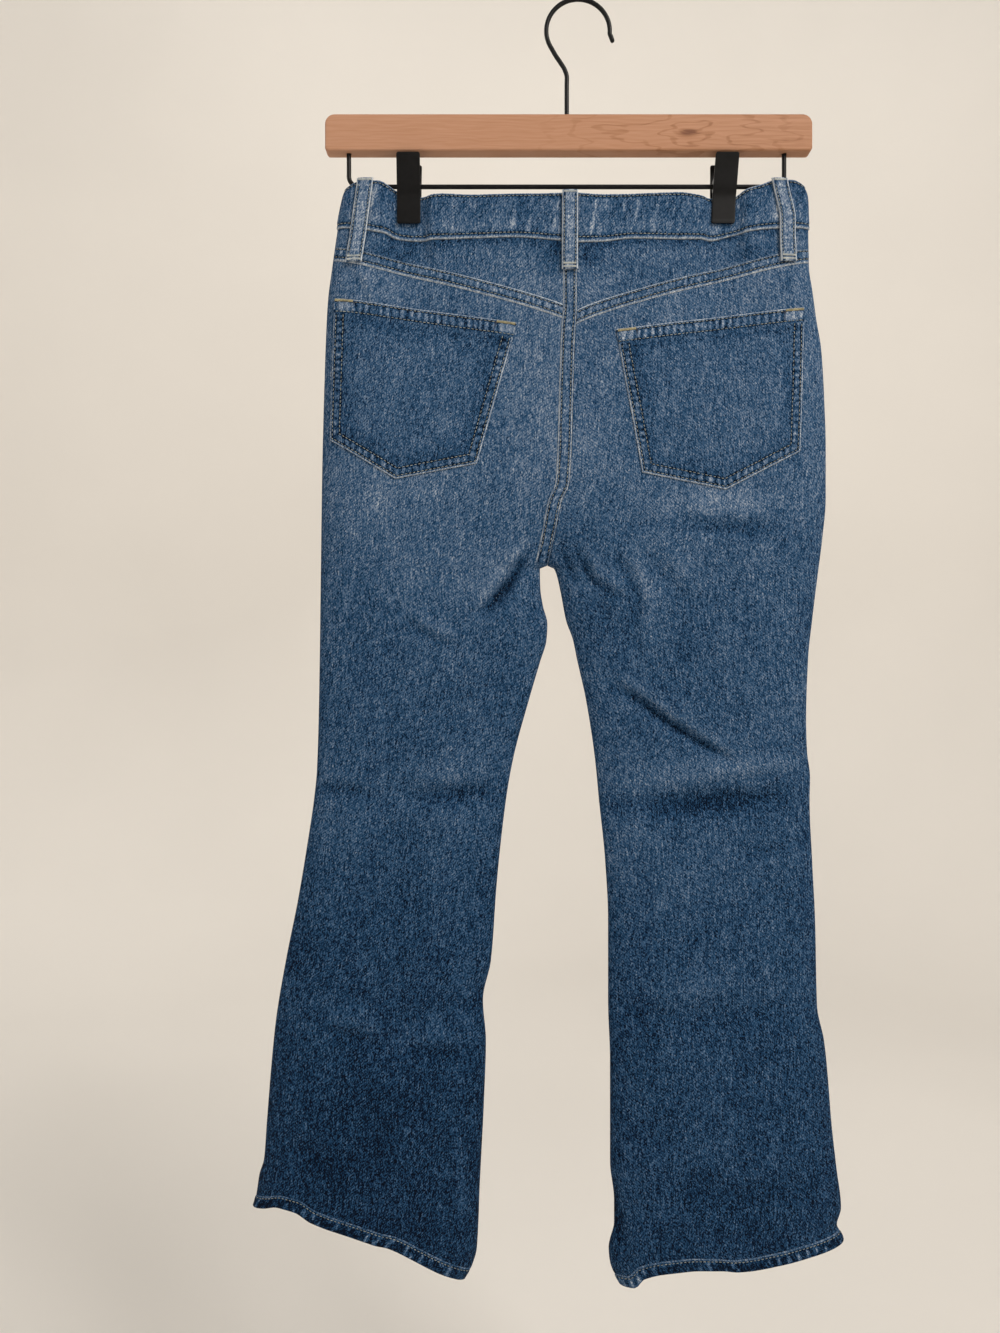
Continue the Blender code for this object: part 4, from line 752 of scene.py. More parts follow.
def make_front(side, k):
    """Front panel, scooped out for the pocket and cut back at the zip, and the hip piece behind the scoop."""
    top = WAIST_SEAM_HALF * V_PER_MM
    curve = SCOOP_V * np.sin(np.linspace(math.asin(top / SCOOP_V), math.pi / 2, 44))
    rows = np.concatenate([curve, np.linspace(0.88, FLY_SLOT_V, 16), [FLY_SLOT_V + 0.02],
                           np.linspace(1.35, 2.50, 40), *leg_rows()])
    u, v = panel_grid(rows)
    edge = scoop_edge(v)
    end = np.where(v <= FLY_SLOT_V, 1 - FLY_SLOT / PANEL_WIDE, 1.0)
    u = edge + (end - edge) * u
    outer = moved_out(side, "front", u, v, 0 * u)
    inner = moved_out(side, "front", u, v, 0 * u - LAYER)
    tone = dye_and_shade(side, "front", u, v, outer[..., 0], outer[..., 2])
    off = (u - edge) * PANEL_WIDE
    # The pocket mouth: a pale worn edge, then painted shade in a band beside it and in the grooves of its two
    # rows of stitching
    mouth = 0.42 * hump(off, 1.2) - 0.12 * hump(off - 4.8, 3)
    mouth = mouth - 0.20 * hump(off - 1.9, 0.8) - 0.20 * hump(off - 7.6, 0.8)
    tone = tone + np.where(v < SCOOP_V, mouth, 0)
    front = closed_wall("front_panel_" + side, outer, inner, tone, DENIM, shift=1.7 + 0.8 * k)
    settle(front, "denim", "front_panel_" + side)
    make_hip_piece(side, np.append(rows[rows <= SCOOP_V][::2], SCOOP_V), 2.6 + k)


def make_hip_piece(side, rows, shift):
    """The cloth that shows inside the scoop. It runs on a little behind the front panel."""
    columns = np.concatenate([[0, 0.02, 0.05], np.linspace(0.1, 1.0, 30)])
    part, v = np.meshgrid(columns, rows)
    edge = scoop_edge(v)
    u = (edge + 0.06) * part
    flush = np.clip((edge - u - 0.012) / 0.04, 0, 1)
    hip = panel_wall("hip_piece_" + side, side, "front", u, v, shift, top=-(LAYER + 0.25) * (1 - flush))
    settle(hip, "denim", "hip_piece_" + side)


def ring_columns(u):
    """A leg's way round: down the back's u from the side seam, and back up the front's."""
    return (("back", u), ("front", u[-2:0:-1]))


def ring_walls(side, u, v, lift):
    """Points a lift outside the cloth, as a closed ring. lift has a row for each v, a column for each u."""
    parts, start = [], 0
    for face, places in ring_columns(u):
        grid_u, grid_v = np.meshgrid(places, v)
        parts.append(moved_out(side, face, grid_u, grid_v, lift[:, start:start + len(places)]))
        start += len(places)
    parts[0][:, (0, -1), 1] = 0.0
    return np.concatenate(parts, axis=1)


def hem_relief(side, k, run, down):
    """Lift and tone of a hem: slanting ropes, pale worn ticks across it, a rubbed lower edge, and painted
    shade in the groove of its stitching.
    """
    above = HEM_TALL - down
    rope = uneven((run + 0.7 * down) / ROPE_STEP, down / 14, 31 + k)
    body = np.clip((down - 1.6) / 1.5, 0, 1) * np.clip(above / 1.2, 0, 1)
    groove = hump(down - HEM_ROW, GROOVE_HALF)
    lift = HEM_PROUD * np.clip((down - HEM_ROW) / 1.2, 0, 1) + 0.6 * rope * body - 0.35 * groove
    lift = lift - 0.9 * rolled(above, 1.6)
    turn = (run + 0.35 * down) / TICK_STEP + 0.55 * uneven(run / 17, 0.0, 33 + k)
    ticks = np.sin(2 * math.pi * turn) - 0.66 + 0.25 * uneven(run / 14, down / 30, 35 + k)
    # Painted shade in the stitch groove; the ropes, ticks and edges are wear
    tone = 0.02 + 0.08 * rope * body + 0.66 * np.clip(3 * ticks, 0, 1) * body - 0.10 * groove
    tone = tone + 0.58 * hump(down, 2.0) + 0.10 * hump(above, 0.9) + (0.05 if side == "right" else 0.0)
    by_inseam = np.concatenate([hump(places - 0.97, 0.07) for _, places in ring_columns(PANEL_U)])
    return lift, tone + 0.20 * body * by_inseam


def make_hems():
    across = np.array([0.0, 0.4, 0.8, 1.2, 1.6, 2.1, 3.0, 4.2, 5.4, 6.6, 7.6, 8.3, 8.8, 9.1, HEM_TALL])
    v = V_HEM - (1 - across / HEM_TALL) * (V_HEM - V_HEM_TOP - CLOSE_SEAM * V_PER_MM)
    for k, side in enumerate(("left", "right")):
        flat = np.zeros((len(v), 2 * len(PANEL_U) - 2))
        run = run_lengths(ring_walls(side, PANEL_U, v, flat), 1)
        lift, tone = hem_relief(side, k, run, np.broadcast_to(across[:, None], run.shape))
        hem = closed_wall("hem_" + side, ring_walls(side, PANEL_U, v, lift),
                          ring_walls(side, PANEL_U, v, flat + HEM_PROUD - HEM_WALL), tone, DENIM, ring=True,
                          shift=3.3 + k)
        settle(hem, "denim", "hem_" + side)
        for face in ("back", "front"):
            sew_on(side, face, np.linspace(0.002, 0.998, 300),
                   V_HEM_TOP + HEM_ROW / HEM_TALL * (V_HEM - V_HEM_TOP), HEM_THREAD_LIFT, "hems",
                   PITCH["hems"])


def make_seams():
    """Felled seams: the centre-back one over the left panel, and the two below the yoke."""
    across = np.array(close_steps(0, STRAP_WIDE, 0.8, STRAP_ROWS))
    u = np.minimum(1 - (STRAP_WIDE - across) / PANEL_WIDE, 1 - SEAT_EDGE)
    grid = np.meshgrid(u, np.linspace(0.004, SEAT_STRAP_END, 170))
    felled_seam("seat_seam", "left", grid, np.broadcast_to(across[None], grid[0].shape), STRAP_WIDE, 0,
                (41, SEAT_PUCKERS), 4.4)
    for row in STRAP_ROWS:
        sew_on("left", "back", 1 - (STRAP_WIDE - row) / PANEL_WIDE, np.linspace(0.02, 2.42, 300),
               STRAP_LIFT - THREAD_SUNK, "back", PITCH["seams"])
    make_yoke_seams()


def felled_seam(name, side, grid, across, wide, along_axis, relief, shift):
    """A felled seam on a grid of u and v. relief is the seed and strength of its puckers."""
    flat = moved_out(side, "back", *grid, 0 * grid[0])
    seed, puckers = relief
    height, tone = seam_relief(across, wide, STRAP_ROWS, run_lengths(flat, along_axis), seed, puckers)
    # The tone carries painted shade in the stitch grooves and pucker hollows, from seam_relief
    tone = tone + dye_and_shade(side, "back", *grid, flat[..., 0], flat[..., 2]) + 0.02
    seam = closed_wall(name, moved_out(side, "back", *grid, STRAP_LIFT + height),
                       moved_out(side, "back", *grid, 0 * grid[0] + RISE), tone, DENIM, shift=shift)
    settle(seam, "denim", name)


def make_yoke_seams():
    wide = (V_YOKE_FOOT - V_YOKE_TOP) / V_PER_MM
    across = np.array(close_steps(0, wide, 0.8, STRAP_ROWS))
    for k, side in enumerate(("left", "right")):
        end = 1 - (STRAP_WIDE + 0.1) / PANEL_WIDE if side == "left" else 1 - SEAT_EDGE
        u = np.concatenate([[0.010, 0.014, 0.02], np.linspace(0.028, end - 0.012, 150), [end - 0.006, end]])
        grid = np.meshgrid(u, V_YOKE_TOP + across * V_PER_MM)
        felled_seam("yoke_seam_" + side, side, grid, np.broadcast_to(across[:, None], grid[0].shape), wide, 1,
                    (44 + k, YOKE_PUCKERS), 5.2 + k)
        for row in STRAP_ROWS:
            sew_on(side, "back", np.linspace(0.012, end - 0.004, 300), V_YOKE_TOP + row * V_PER_MM,
                   STRAP_LIFT - THREAD_SUNK, "back", PITCH["seams"])


def line_distance(a, b, x, z):
    """Distance from a straight edge from a to b, positive on its left."""
    step = np.array(b, float) - np.array(a, float)
    return (step[0] * (z - a[1]) - step[1] * (x - a[0])) / np.hypot(*step)


def pocket_place(corners, s, t):
    """x and z on a pocket, s across and t down."""
    top_out, top_in, low_in, point, low_out = (np.array(c, float) for c in corners)
    point_at = (point[0] - low_out[0]) / (low_in[0] - low_out[0])
    top = top_out + (top_in - top_out) * s[..., None]
    foot = np.stack([low_out, point, low_in])
    low = np.stack([np.interp(s, (0, point_at, 1), foot[:, i]) for i in (0, 1)], axis=-1)
    return top + (low - top) * t[..., None]


def inset(corners, off):
    """The open line down one side, along the foot and up the other, this far inside the edge."""
    top_out, top_in, low_in, point, low_out = (np.array(c, float) for c in corners)
    line = [top_out, low_out, point, low_in, top_in]
    middle = np.mean(line, axis=0)
    moved = []
    for a, b in zip(line, line[1:]):
        step = (b - a) / np.linalg.norm(b - a)
        normal = np.array([-step[1], step[0]])
        if np.dot(normal, middle - a) < 0:
            normal = -normal
        moved.append((a + normal * off, b + normal * off))
    points = [moved[0][0]]
    for (a, b), (c, d) in zip(moved, moved[1:]):
        points.append(crossing(a, b - a, c, d - c))
    points.append(moved[-1][1])
    return points


def crossing(a, run_a, b, run_b):
    """Where two straight lines cross."""
    t = np.linalg.solve(np.array([run_a, -run_b]).T, b - a)[0]
    return a + run_a * t


def dense_line(points, step=1.0):
    """Points along a broken line, a step apart."""
    out = []
    for a, b in zip(points, points[1:]):
        count = max(2, int(np.linalg.norm(np.array(b) - a) / step))
        out += [np.array(a) + (np.array(b) - a) * i / count for i in range(count)]
    return np.array(out + [points[-1]])


def edge_steps(count):
    """Even steps from 0 to 1, with closer ones at both ends."""
    near = np.array([0, 0.003, 0.006, 0.009, 0.013, 0.018])
    return np.concatenate([near, np.linspace(0.024, 0.976, count), 1 - near[::-1]])


def pocket_relief(k, corners, x, z, bulge):
    """Height and tone of a patch pocket: its sewn edge, and its turned top with a worn patch at each end. The
    stitch grooves and pucker hollows carry painted shade from seam_relief, and the pocket is made darker in a
    band inside its sewn edge and just below its turned top.
    """
    top_out, top_in, low_in, point, low_out = corners
    edges = [np.abs(line_distance(a, b, x, z)) for a, b in
             ((top_out, low_out), (low_out, point), (point, low_in), (low_in, top_in))]
    from_edge = np.min(edges, axis=0)
    from_top = np.abs(line_distance(top_out, top_in, x, z))
    on_side = np.minimum(edges[0], edges[3]) < np.minimum(edges[1], edges[2])
    run = np.where(on_side, z, x)
    height, tone = seam_relief(from_edge, OPEN_WIDE, POCKET_ROWS, run, 51 + k, POCKET_PUCKERS)
    band_height, band_tone = seam_relief(from_top, OPEN_WIDE, POCKET_BAND_ROWS, x, 55 + k,
                                         POCKET_BAND_PUCKERS)
    in_band = np.clip((POCKET_BAND + 0.6 - from_top) / 0.8, 0, 1)
    height = height * (1 - in_band) + (band_height + POCKET_BAND_PROUD - 0.2) * in_band
    edge_roll = -EDGE_DROP * rolled(from_edge, EDGE_REACH)
    height = np.minimum(height, height * (1 - in_band) + in_band * (edge_roll + height)) + 0.5 * bulge
    # Darker in a band just inside the sewn edge; the grooves and pucker hollows carry painted shade
    tone = tone * (1 - in_band) + band_tone * in_band - 0.09 * hump(from_edge - 11, 6) * (1 - in_band)
    base = POCKET_FADE[k]
    tone = tone + base + 0.03 * uneven(x / 26, z / 40, 58 + k) + 0.03 * uneven(x / 5, z / 22, 60 + k)
    for corner, other in ((top_out, top_in), (top_in, top_out)):
        from_end = (x - corner[0]) * np.sign(other[0] - corner[0])
        patch = np.exp(-((from_end - 8) / 6.5) ** 8) * np.exp(-((from_top - 5.5) / 4.5) ** 8)
        tone = tone + (0.23 - 0.6 * (tone - base)) * patch
    return height, tone - 0.10 * hump(from_top - POCKET_BAND - 4, 4)


def make_pockets():
    grid_s, grid_t = np.meshgrid(edge_steps(126), edge_steps(112))
    bulge = np.sin(math.pi * grid_s) * np.sin(math.pi * grid_t)
    for k, (side, corners) in enumerate(POCKETS.items()):
        top_out, top_in, low_in, _, low_out = corners
        place = pocket_place(corners, grid_s, grid_t)
        x, z = place[..., 0], place[..., 1]
        height, tone = pocket_relief(k, corners, x, z, bulge)
        outer = on_cloth(side, "back", x, z, LAYER + RISE + height)
        inner = on_cloth(side, "back", x, z, np.full(x.shape, RISE))
        pocket = closed_wall("back_pocket_" + side, outer, inner, tone, DENIM, shift=6.1 + k)
        settle(pocket, "denim", "back_pocket_" + side)
        for off in POCKET_ROWS:
            sew_at(side, "back", dense_line(inset(corners, off)), LAYER + RISE - THREAD_SUNK, "back",
                   PITCH["pockets"])
        for off in POCKET_BAND_ROWS:
            a, b = (np.array(c, float) for c in (top_out, top_in))
            down = (np.array(low_out, float) - a) / np.linalg.norm(np.array(low_out) - a) * off
            sew_at(side, "back", dense_line([a + down + (b - a) * 0.012, b + down - (b - a) * 0.012]),
                   LAYER + RISE + POCKET_BAND_PROUD - 0.25, "back", PITCH["pocket_tops"])
        for corner, toward, along_side in ((top_out, top_in, low_out), (top_in, top_out, low_in)):
            bartack(side, corner, toward, along_side, LAYER + RISE + POCKET_BAND_PROUD)


def bartack(side, corner, toward, along_side, lift):
    """A short bar of close stitches along a pocket's top at its corner, and a dark one down from its end."""
    corner, toward, along_side = (np.array(p, float) for p in (corner, toward, along_side))
    run = (toward - corner) / np.linalg.norm(toward - corner)
    down = (along_side - corner) / np.linalg.norm(along_side - corner)
    start = corner + run * 1.0 + down * 1.4
    sew_at(side, "back", dense_line([start, start + run * TACK_LONG], 0.5), lift - 0.1, "tacks", TACK_PITCH,
           across=True)
    start = corner + run * (TACK_LONG + 1.5) + down * 1.6
    sew_at(side, "back", dense_line([start, start + down * TACK_SIDE_LONG], 0.5), lift - 0.15, "tacks_dark",
           TACK_PITCH, across=True)


def make_belt_loops():
    """Where each loop runs: its middle line bends once, at the kink."""
    for k, (name, (face, top, kink, foot)) in enumerate(LOOPS.items()):
        long = top[1] - foot[1]
        last = long - np.array([1.8, 1.0, 0.4, 0])
        down = np.concatenate([[0, 0.5, 1.0, 1.8], np.linspace(3, long - 3, 38), last])
        heights = top[1] - down
        middle = np.interp(-heights, (-top[1], -kink[1], -foot[1]), (top[0], kink[0], foot[0]))
        make_belt_loop(k, name, face, long, down, heights, middle)


def make_belt_loop(k, name, face, long, down, heights, middle):
    """One loop: a folded strip that bows off the waistband and is tacked at its top and foot."""
    foot_lift = 2 * GAP + (STRAP_PROUD + GAP if face == "back" else 0)
    rest = BAND_PROUD + GAP
    bowed = rest + LOOP_BOW
    lift = np.interp(down / long, (0, 0.3, 0.55, 0.68, 1.0), (rest, bowed, bowed, rest, foot_lift))
    lift = np.maximum(lift, foot_lift)
    across = np.array(close_steps(0, LOOP_WIDE, 0.9, LOOP_ROWS))
    x = middle[:, None] + (across - LOOP_WIDE / 2)[None]
    z = np.broadcast_to(heights[:, None], x.shape)
    grid_across = np.broadcast_to(across[None], x.shape)
    run = np.broadcast_to(down[:, None], x.shape)
    height, tone = seam_relief(grid_across, LOOP_WIDE, LOOP_ROWS, run, 70 + k, LOOP_PUCKERS)
    from_end = np.minimum(down, long - down)[:, None]
    folds = hump(from_end, 3.0)
    # The stitch grooves and pucker hollows carry painted shade from seam_relief; the paler folded ends are
    # wear
    tone = tone + LOOP_FADE + 0.12 * folds + 0.05 * uneven(x / 4, z / 9, 76 + k)
    proud = LAYER + 0.25 + height + 0.7 * folds - EDGE_DROP * rolled(from_end, 1.2)
    outer = on_either_side(face, x, z, lift[:, None] + proud)
    inner = on_either_side(face, x, z, np.broadcast_to(lift[:, None], x.shape))
    loop = closed_wall("belt_loop_" + name, outer, inner, tone, DENIM, shift=8.0 + 0.3 * k)
    settle(loop, "denim", "belt_loop_" + name)
    inside = (down > 3) & (down < long - 4)
    for row in LOOP_ROWS:
        line = np.stack([middle[inside] + row - LOOP_WIDE / 2, heights[inside]], axis=-1)
        sew_at(None, face, dense_line(list(line)), None, face, PITCH["loops"],
               lifts=(heights, lift + LAYER + 0.2))
    for at in (1.6, long - 4.2, long - 1.6):
        level = heights[0] - at
        mid = np.interp(-level, -heights, middle)
        reach = LOOP_WIDE / 2 - 1.2
        bar = dense_line([np.array([mid - reach, level]), np.array([mid + reach, level])], 0.5)
        sew_at(None, face, bar, None, "tacks_pale", TACK_PITCH, lifts=(heights, lift + LAYER + 0.75),
               across=True)


def band_lift(side, u, end):
    """How far the lapped end of the waistband stands off the other one."""
    if end != "outer":
        return np.zeros(u.shape)
    rise = BAND_WALL + LAP_EASE
    if side == "right":
        return np.full(u.shape, rise)
    inner_end = 1 - BAND_UNDERLAP / PANEL_WIDE
    return smooth(u, (inner_end - LAP_SLOPE[1], inner_end - LAP_SLOPE[0]), (0, rise))


def band_stops():
    """The waistband's way round, in stretches of one side and face: side, face, u, lift."""
    down = np.concatenate([U_SIDE, np.linspace(0.05, 0.995, 100), [1.0]])
    lap, under = BAND_LAP / PANEL_WIDE, BAND_UNDERLAP / PANEL_WIDE
    stretches = [("right", "front", np.linspace(1 - lap, 0.995, 9), "outer"),
                 ("left", "front", down[::-1], "outer"),
                 ("left", "back", down[1:], None),
                 ("right", "back", down[-2::-1], None),
                 ("right", "front", down[1:], None),
                 ("left", "front", np.linspace(0.995, 1 - under + 0.004, 18), None)]
    return [(side, face, u, band_lift(side, u, end)) for side, face, u, end in stretches]


def band_row(down):
    """v at a distance down the waistband."""
    return V_BAND_TOP + down / BAND_TALL * (-WAIST_SEAM_HALF * V_PER_MM - V_BAND_TOP)


def make_waistband():
    """One strip once round, its outer end lapping over the other at the centre front."""
    across = close_steps(0, BAND_TALL, 1.3, BAND_ROWS)
    edges = [0.3, 0.6, BAND_TALL - 0.3, BAND_TALL - 0.7, BAND_TALL - 1.2]
    across = np.unique(np.concatenate([across, edges]))
    v = band_row(across)
    stretches = band_stops()
    base = []
    for side, face, u, lift in stretches:
        grid_u, grid_v = np.meshgrid(u, v)
        base.append(moved_out(side, face, grid_u, grid_v, np.broadcast_to(lift[None], grid_u.shape)))
    run = run_lengths(np.concatenate(base, axis=1), 1)
    down = np.broadcast_to(across[:, None], run.shape)
    height, tone = seam_relief(down, BAND_TALL, BAND_ROWS, run, 81, 0.0)
    body = np.clip((down - 2) / 4, 0, 1) * np.clip((BAND_TALL - down - 3) / 4, 0, 1)
    wave = uneven(run / 9, down / 22, 82)
    height = height + 0.55 * wave * body + 0.3 * uneven(run / 30, down / 60, 83)
    streak = uneven((run + 0.12 * down) / 2.2, down / 22, 84)
    marks = np.clip(uneven((run - 0.15 * down) / 3.2, down / 18, 85) - 0.4, 0, 1)
    # The band's waves paler where they stand out, part wear and part painted highlight; pale worn marks and
    # slub streaks; the stitch grooves carry painted shade from seam_relief
    tone = tone + 0.46 + 0.05 * wave * body + 0.09 * streak * body + 0.60 * marks * body
    above_seam = BAND_TALL - down
    tone = tone + 0.06 * np.exp(-(above_seam / 1.5) ** 2) + 0.06 * np.exp(-((9 - above_seam) / 5) ** 2)
    outer, inner, start = [], [], 0
    for side, face, u, lift in stretches:
        grid_u, grid_v = np.meshgrid(u, v)
        own = slice(start, start + len(u))
        start += len(u)
        for target, depth in ((outer, BAND_PROUD + lift[None] + height[:, own]),
                              (inner, np.broadcast_to(BAND_PROUD + lift[None] - BAND_WALL, grid_u.shape))):
            points = moved_out(side, face, grid_u, grid_v, depth)
            points[..., 1] = np.where(grid_u == 0, 0.0, points[..., 1])
            target.append(points)
    band = closed_wall("waistband", np.concatenate(outer, axis=1), np.concatenate(inner, axis=1), tone, DENIM,
                       shift=9.1)
    settle(band, "denim", "waistband")
    for side, face, u, lift in stretches[:-1]:
        dense = np.linspace(u[0], u[-1], 320)
        order = np.argsort(u)
        off = np.interp(dense, u[order], lift[order])
        for row in BAND_ROWS:
            sew_on(side, face, np.clip(dense, 0.002, 1), band_row(row), BAND_PROUD + off - 0.15, face,
                   PITCH["waistband"])


def front_centre(v):
    """y and z of the front's outer face at its centre."""
    point = garment("left", "front", 1.0, v)
    return float(point[1]), float(point[2])


def fly_foot(s):
    """Length of the fly at s across it: its lower end is rounded towards the centre seam."""
    return FLY_LONG * np.sqrt(1 - 0.55 * np.clip(1 - s / 0.55, 0, 1) ** 2)


def fly_place(s, t):
    """x, z and lift of the fly, s across and t down."""
    z_top = front_centre(2 * WAIST_SEAM_HALF * V_PER_MM)[1]
    from_centre = -FLY_WIDE + (FLY_WIDE + FLY_LAP) * s
    z = z_top + FRONT_DROP * (1 - (1 - np.abs(from_centre) / PANEL_WIDE) ** 2) - fly_foot(s) * t
    return along(CENTRE_SEAM, z) + from_centre, z, GAP + FLY_LIFT * np.clip(1 - t / 0.52, 0, 1) ** 1.5


def make_fly():
    """The fly's flap, its curved double row of stitches, and the zip under it."""
    s, t = np.meshgrid(np.linspace(0, 1, 44), np.linspace(0, 1, 90))
    x, z, lift = fly_place(s, t)
    wide = FLY_WIDE + FLY_LAP
    tone = dye_and_shade("left", "front", 0 * s + 0.9, t * 1.3, x, z) + 0.25 * hump((1 - s) * wide, 1.2)
    tone = tone + 0.40 * hump(s * wide, 1.1) + 0.30 * hump((1 - t) * FLY_TALL, 1.4)
    # Painted shade in the grooves of the two rows of stitching; the pale edges are wear
    for row_s, row_t in FLY_ROWS:
        away = np.where(t < row_t, np.abs(s - row_s) * wide, 99)
        away = np.minimum(away, np.where(s > row_s, np.abs(t - row_t) * FLY_TALL, 99))
        tone = tone - 0.22 * hump(away, 0.9)
    fly = closed_wall("fly_flap", on_either_side("front", x, z, lift + LAYER),
                      on_either_side("front", x, z, lift), tone, DENIM, shift=11.0)
    settle(fly, "denim", "fly_flap")
    for row_s, row_t in FLY_ROWS:
        down = np.stack([np.full(200, row_s), np.linspace(0.01, row_t, 200)])
        turn = np.stack([np.linspace(row_s, 0.82, 60), np.full(60, row_t)])
        row_x, row_z, row_lift = fly_place(*np.concatenate([down, turn], axis=1))
        sew_at(None, "front", np.stack([row_x, row_z], axis=-1), row_lift + LAYER - THREAD_SUNK, "front",
               PITCH["fly"])
    make_zip()


def make_zip():
    """Tape with two rows of teeth, under the fly."""
    z_top = front_centre(2 * WAIST_SEAM_HALF * V_PER_MM)[1]
    across = np.array([-13.0, -8.0, -3.2, -2.8, -1.2, 1.2, 2.8, 3.2, 8.0, 13.0])
    proud = np.array([0, 0, 0, 0.4, 0.8, 0.8, 0.4, 0, 0, 0])
    height = z_top - 1.0 - np.linspace(0, ZIP_LONG, 60)
    x = along(CENTRE_SEAM, height)[:, None] + across[None]
    z = np.broadcast_to(height[:, None], x.shape)
    under = -(LAYER + 2 * GAP)
    tape = closed_wall("zip", on_either_side("front", x, z, under + np.broadcast_to(proud, x.shape)),
                       on_either_side("front", x, z, np.full(x.shape, under - ZIP_TAPE)),
                       np.full(x.shape, 0.05), ZIP_TAPE_CLOTH, shift=12.0)
    settle(tape, "zip_tape", "zip")
    rows = z_top - np.arange(2.0, ZIP_LONG, TOOTH_PITCH)
    x = np.concatenate([along(CENTRE_SEAM, rows) + side * TOOTH_OUT for side in (-1, 1)])
    z = np.concatenate([rows - side * TOOTH_STEP for side in (-1, 1)])
    teeth = on_either_side("front", x, z, np.full(len(x), under + 1.1))
    run = np.tile((1.0, 0.0, 0.0), (len(x), 1))
    out = np.tile((0.0, 1.0, 0.0), (len(x), 1))
    settle(stitches("zip_teeth", teeth, run, out, ZIP_METAL, *TOOTH_SIZE, 0), "button_metal")


# -------------------- sewing

SEWING = {}


def resample(points, pitch):
    """Places along a dense line at an even pitch: indices into it, with parts."""
    lengths = np.concatenate([[0], np.cumsum(np.linalg.norm(np.diff(points, axis=0), axis=1))])
    count = max(1, int(lengths[-1] / pitch))
    wanted = (np.arange(count) + 0.5) * lengths[-1] / count
    return np.interp(wanted, lengths, np.arange(len(points)))


def take(values, at):
    """Values at places between whole indices."""
    low = np.floor(at).astype(int)
    high = np.minimum(low + 1, len(values) - 1)
    part = (at - low)[:, None]
    return values[low] * (1 - part) + values[high] * part


def sew_along(points, normals, kind, pitch, across=False):
    """Keeps a row of stitches at this pitch for its kind of thread, each along the row or across it."""
    at = resample(points, pitch)
    here, out = take(points, at), take(normals, at)
    ahead = take(points, np.minimum(at + 0.5, len(points) - 1)) - take(points, np.maximum(at - 0.5, 0))
    run = ahead / np.maximum(np.linalg.norm(ahead, axis=1, keepdims=True), 1e-9)
    if across:
        run = np.cross(run, out)
    SEWING.setdefault(kind, []).append((here, run, out))


def sew_on(side, face, u, v, lift, kind, pitch):
    """A row of stitches along u and v."""
    u, v, lift = np.broadcast_arrays(u, v, lift)
    sew_along(moved_out(side, face, u, v, lift), outward(side, face, u, v), kind, pitch)


def sew_at(side, face, line, lift, kind, pitch, across=False, lifts=None):
    """A row of stitches along x and z, on one side or, with no side given, on whichever lies there."""
    x, z = line[:, 0], line[:, 1]
    if lifts is not None:
        lift = np.interp(-z, -lifts[0], lifts[1])
    lift = np.broadcast_to(np.asarray(lift, float), x.shape)
    points, normals = np.zeros((len(x), 3)), np.zeros((len(x), 3))
    on_left = x < along(CENTRE_SEAM, z) if side is None else np.full(x.shape, side == "left")
    for own, here in (("left", on_left), ("right", ~on_left)):
        if here.any():
            u, v = locate(own, face, x[here], z[here])
            points[here] = moved_out(own, face, u, v, lift[here])
            normals[here] = outward(own, face, u, v)
    sew_along(points, normals, kind, pitch, across)


def add(tree, kind, links=None, stops=(), **settings):
    """A node with its settings and colour stops, and its sockets set or linked by name or number."""
    node = tree.nodes.new(kind)
    for key, value in settings.items():
        setattr(node, key, value)
    if stops:
        line = node.color_ramp.elements
        while len(line) < len(stops):
            line.new(0.5)
        for element, (place, colour) in zip(line, stops):
            element.position = place
            element.color = linear(colour)
    for socket, value in (links or {}).items():
        target = node.inputs[socket]
        if isinstance(value, bpy.types.NodeSocket):
            tree.links.new(value, target)
        else:
            target.default_value = value
    return node


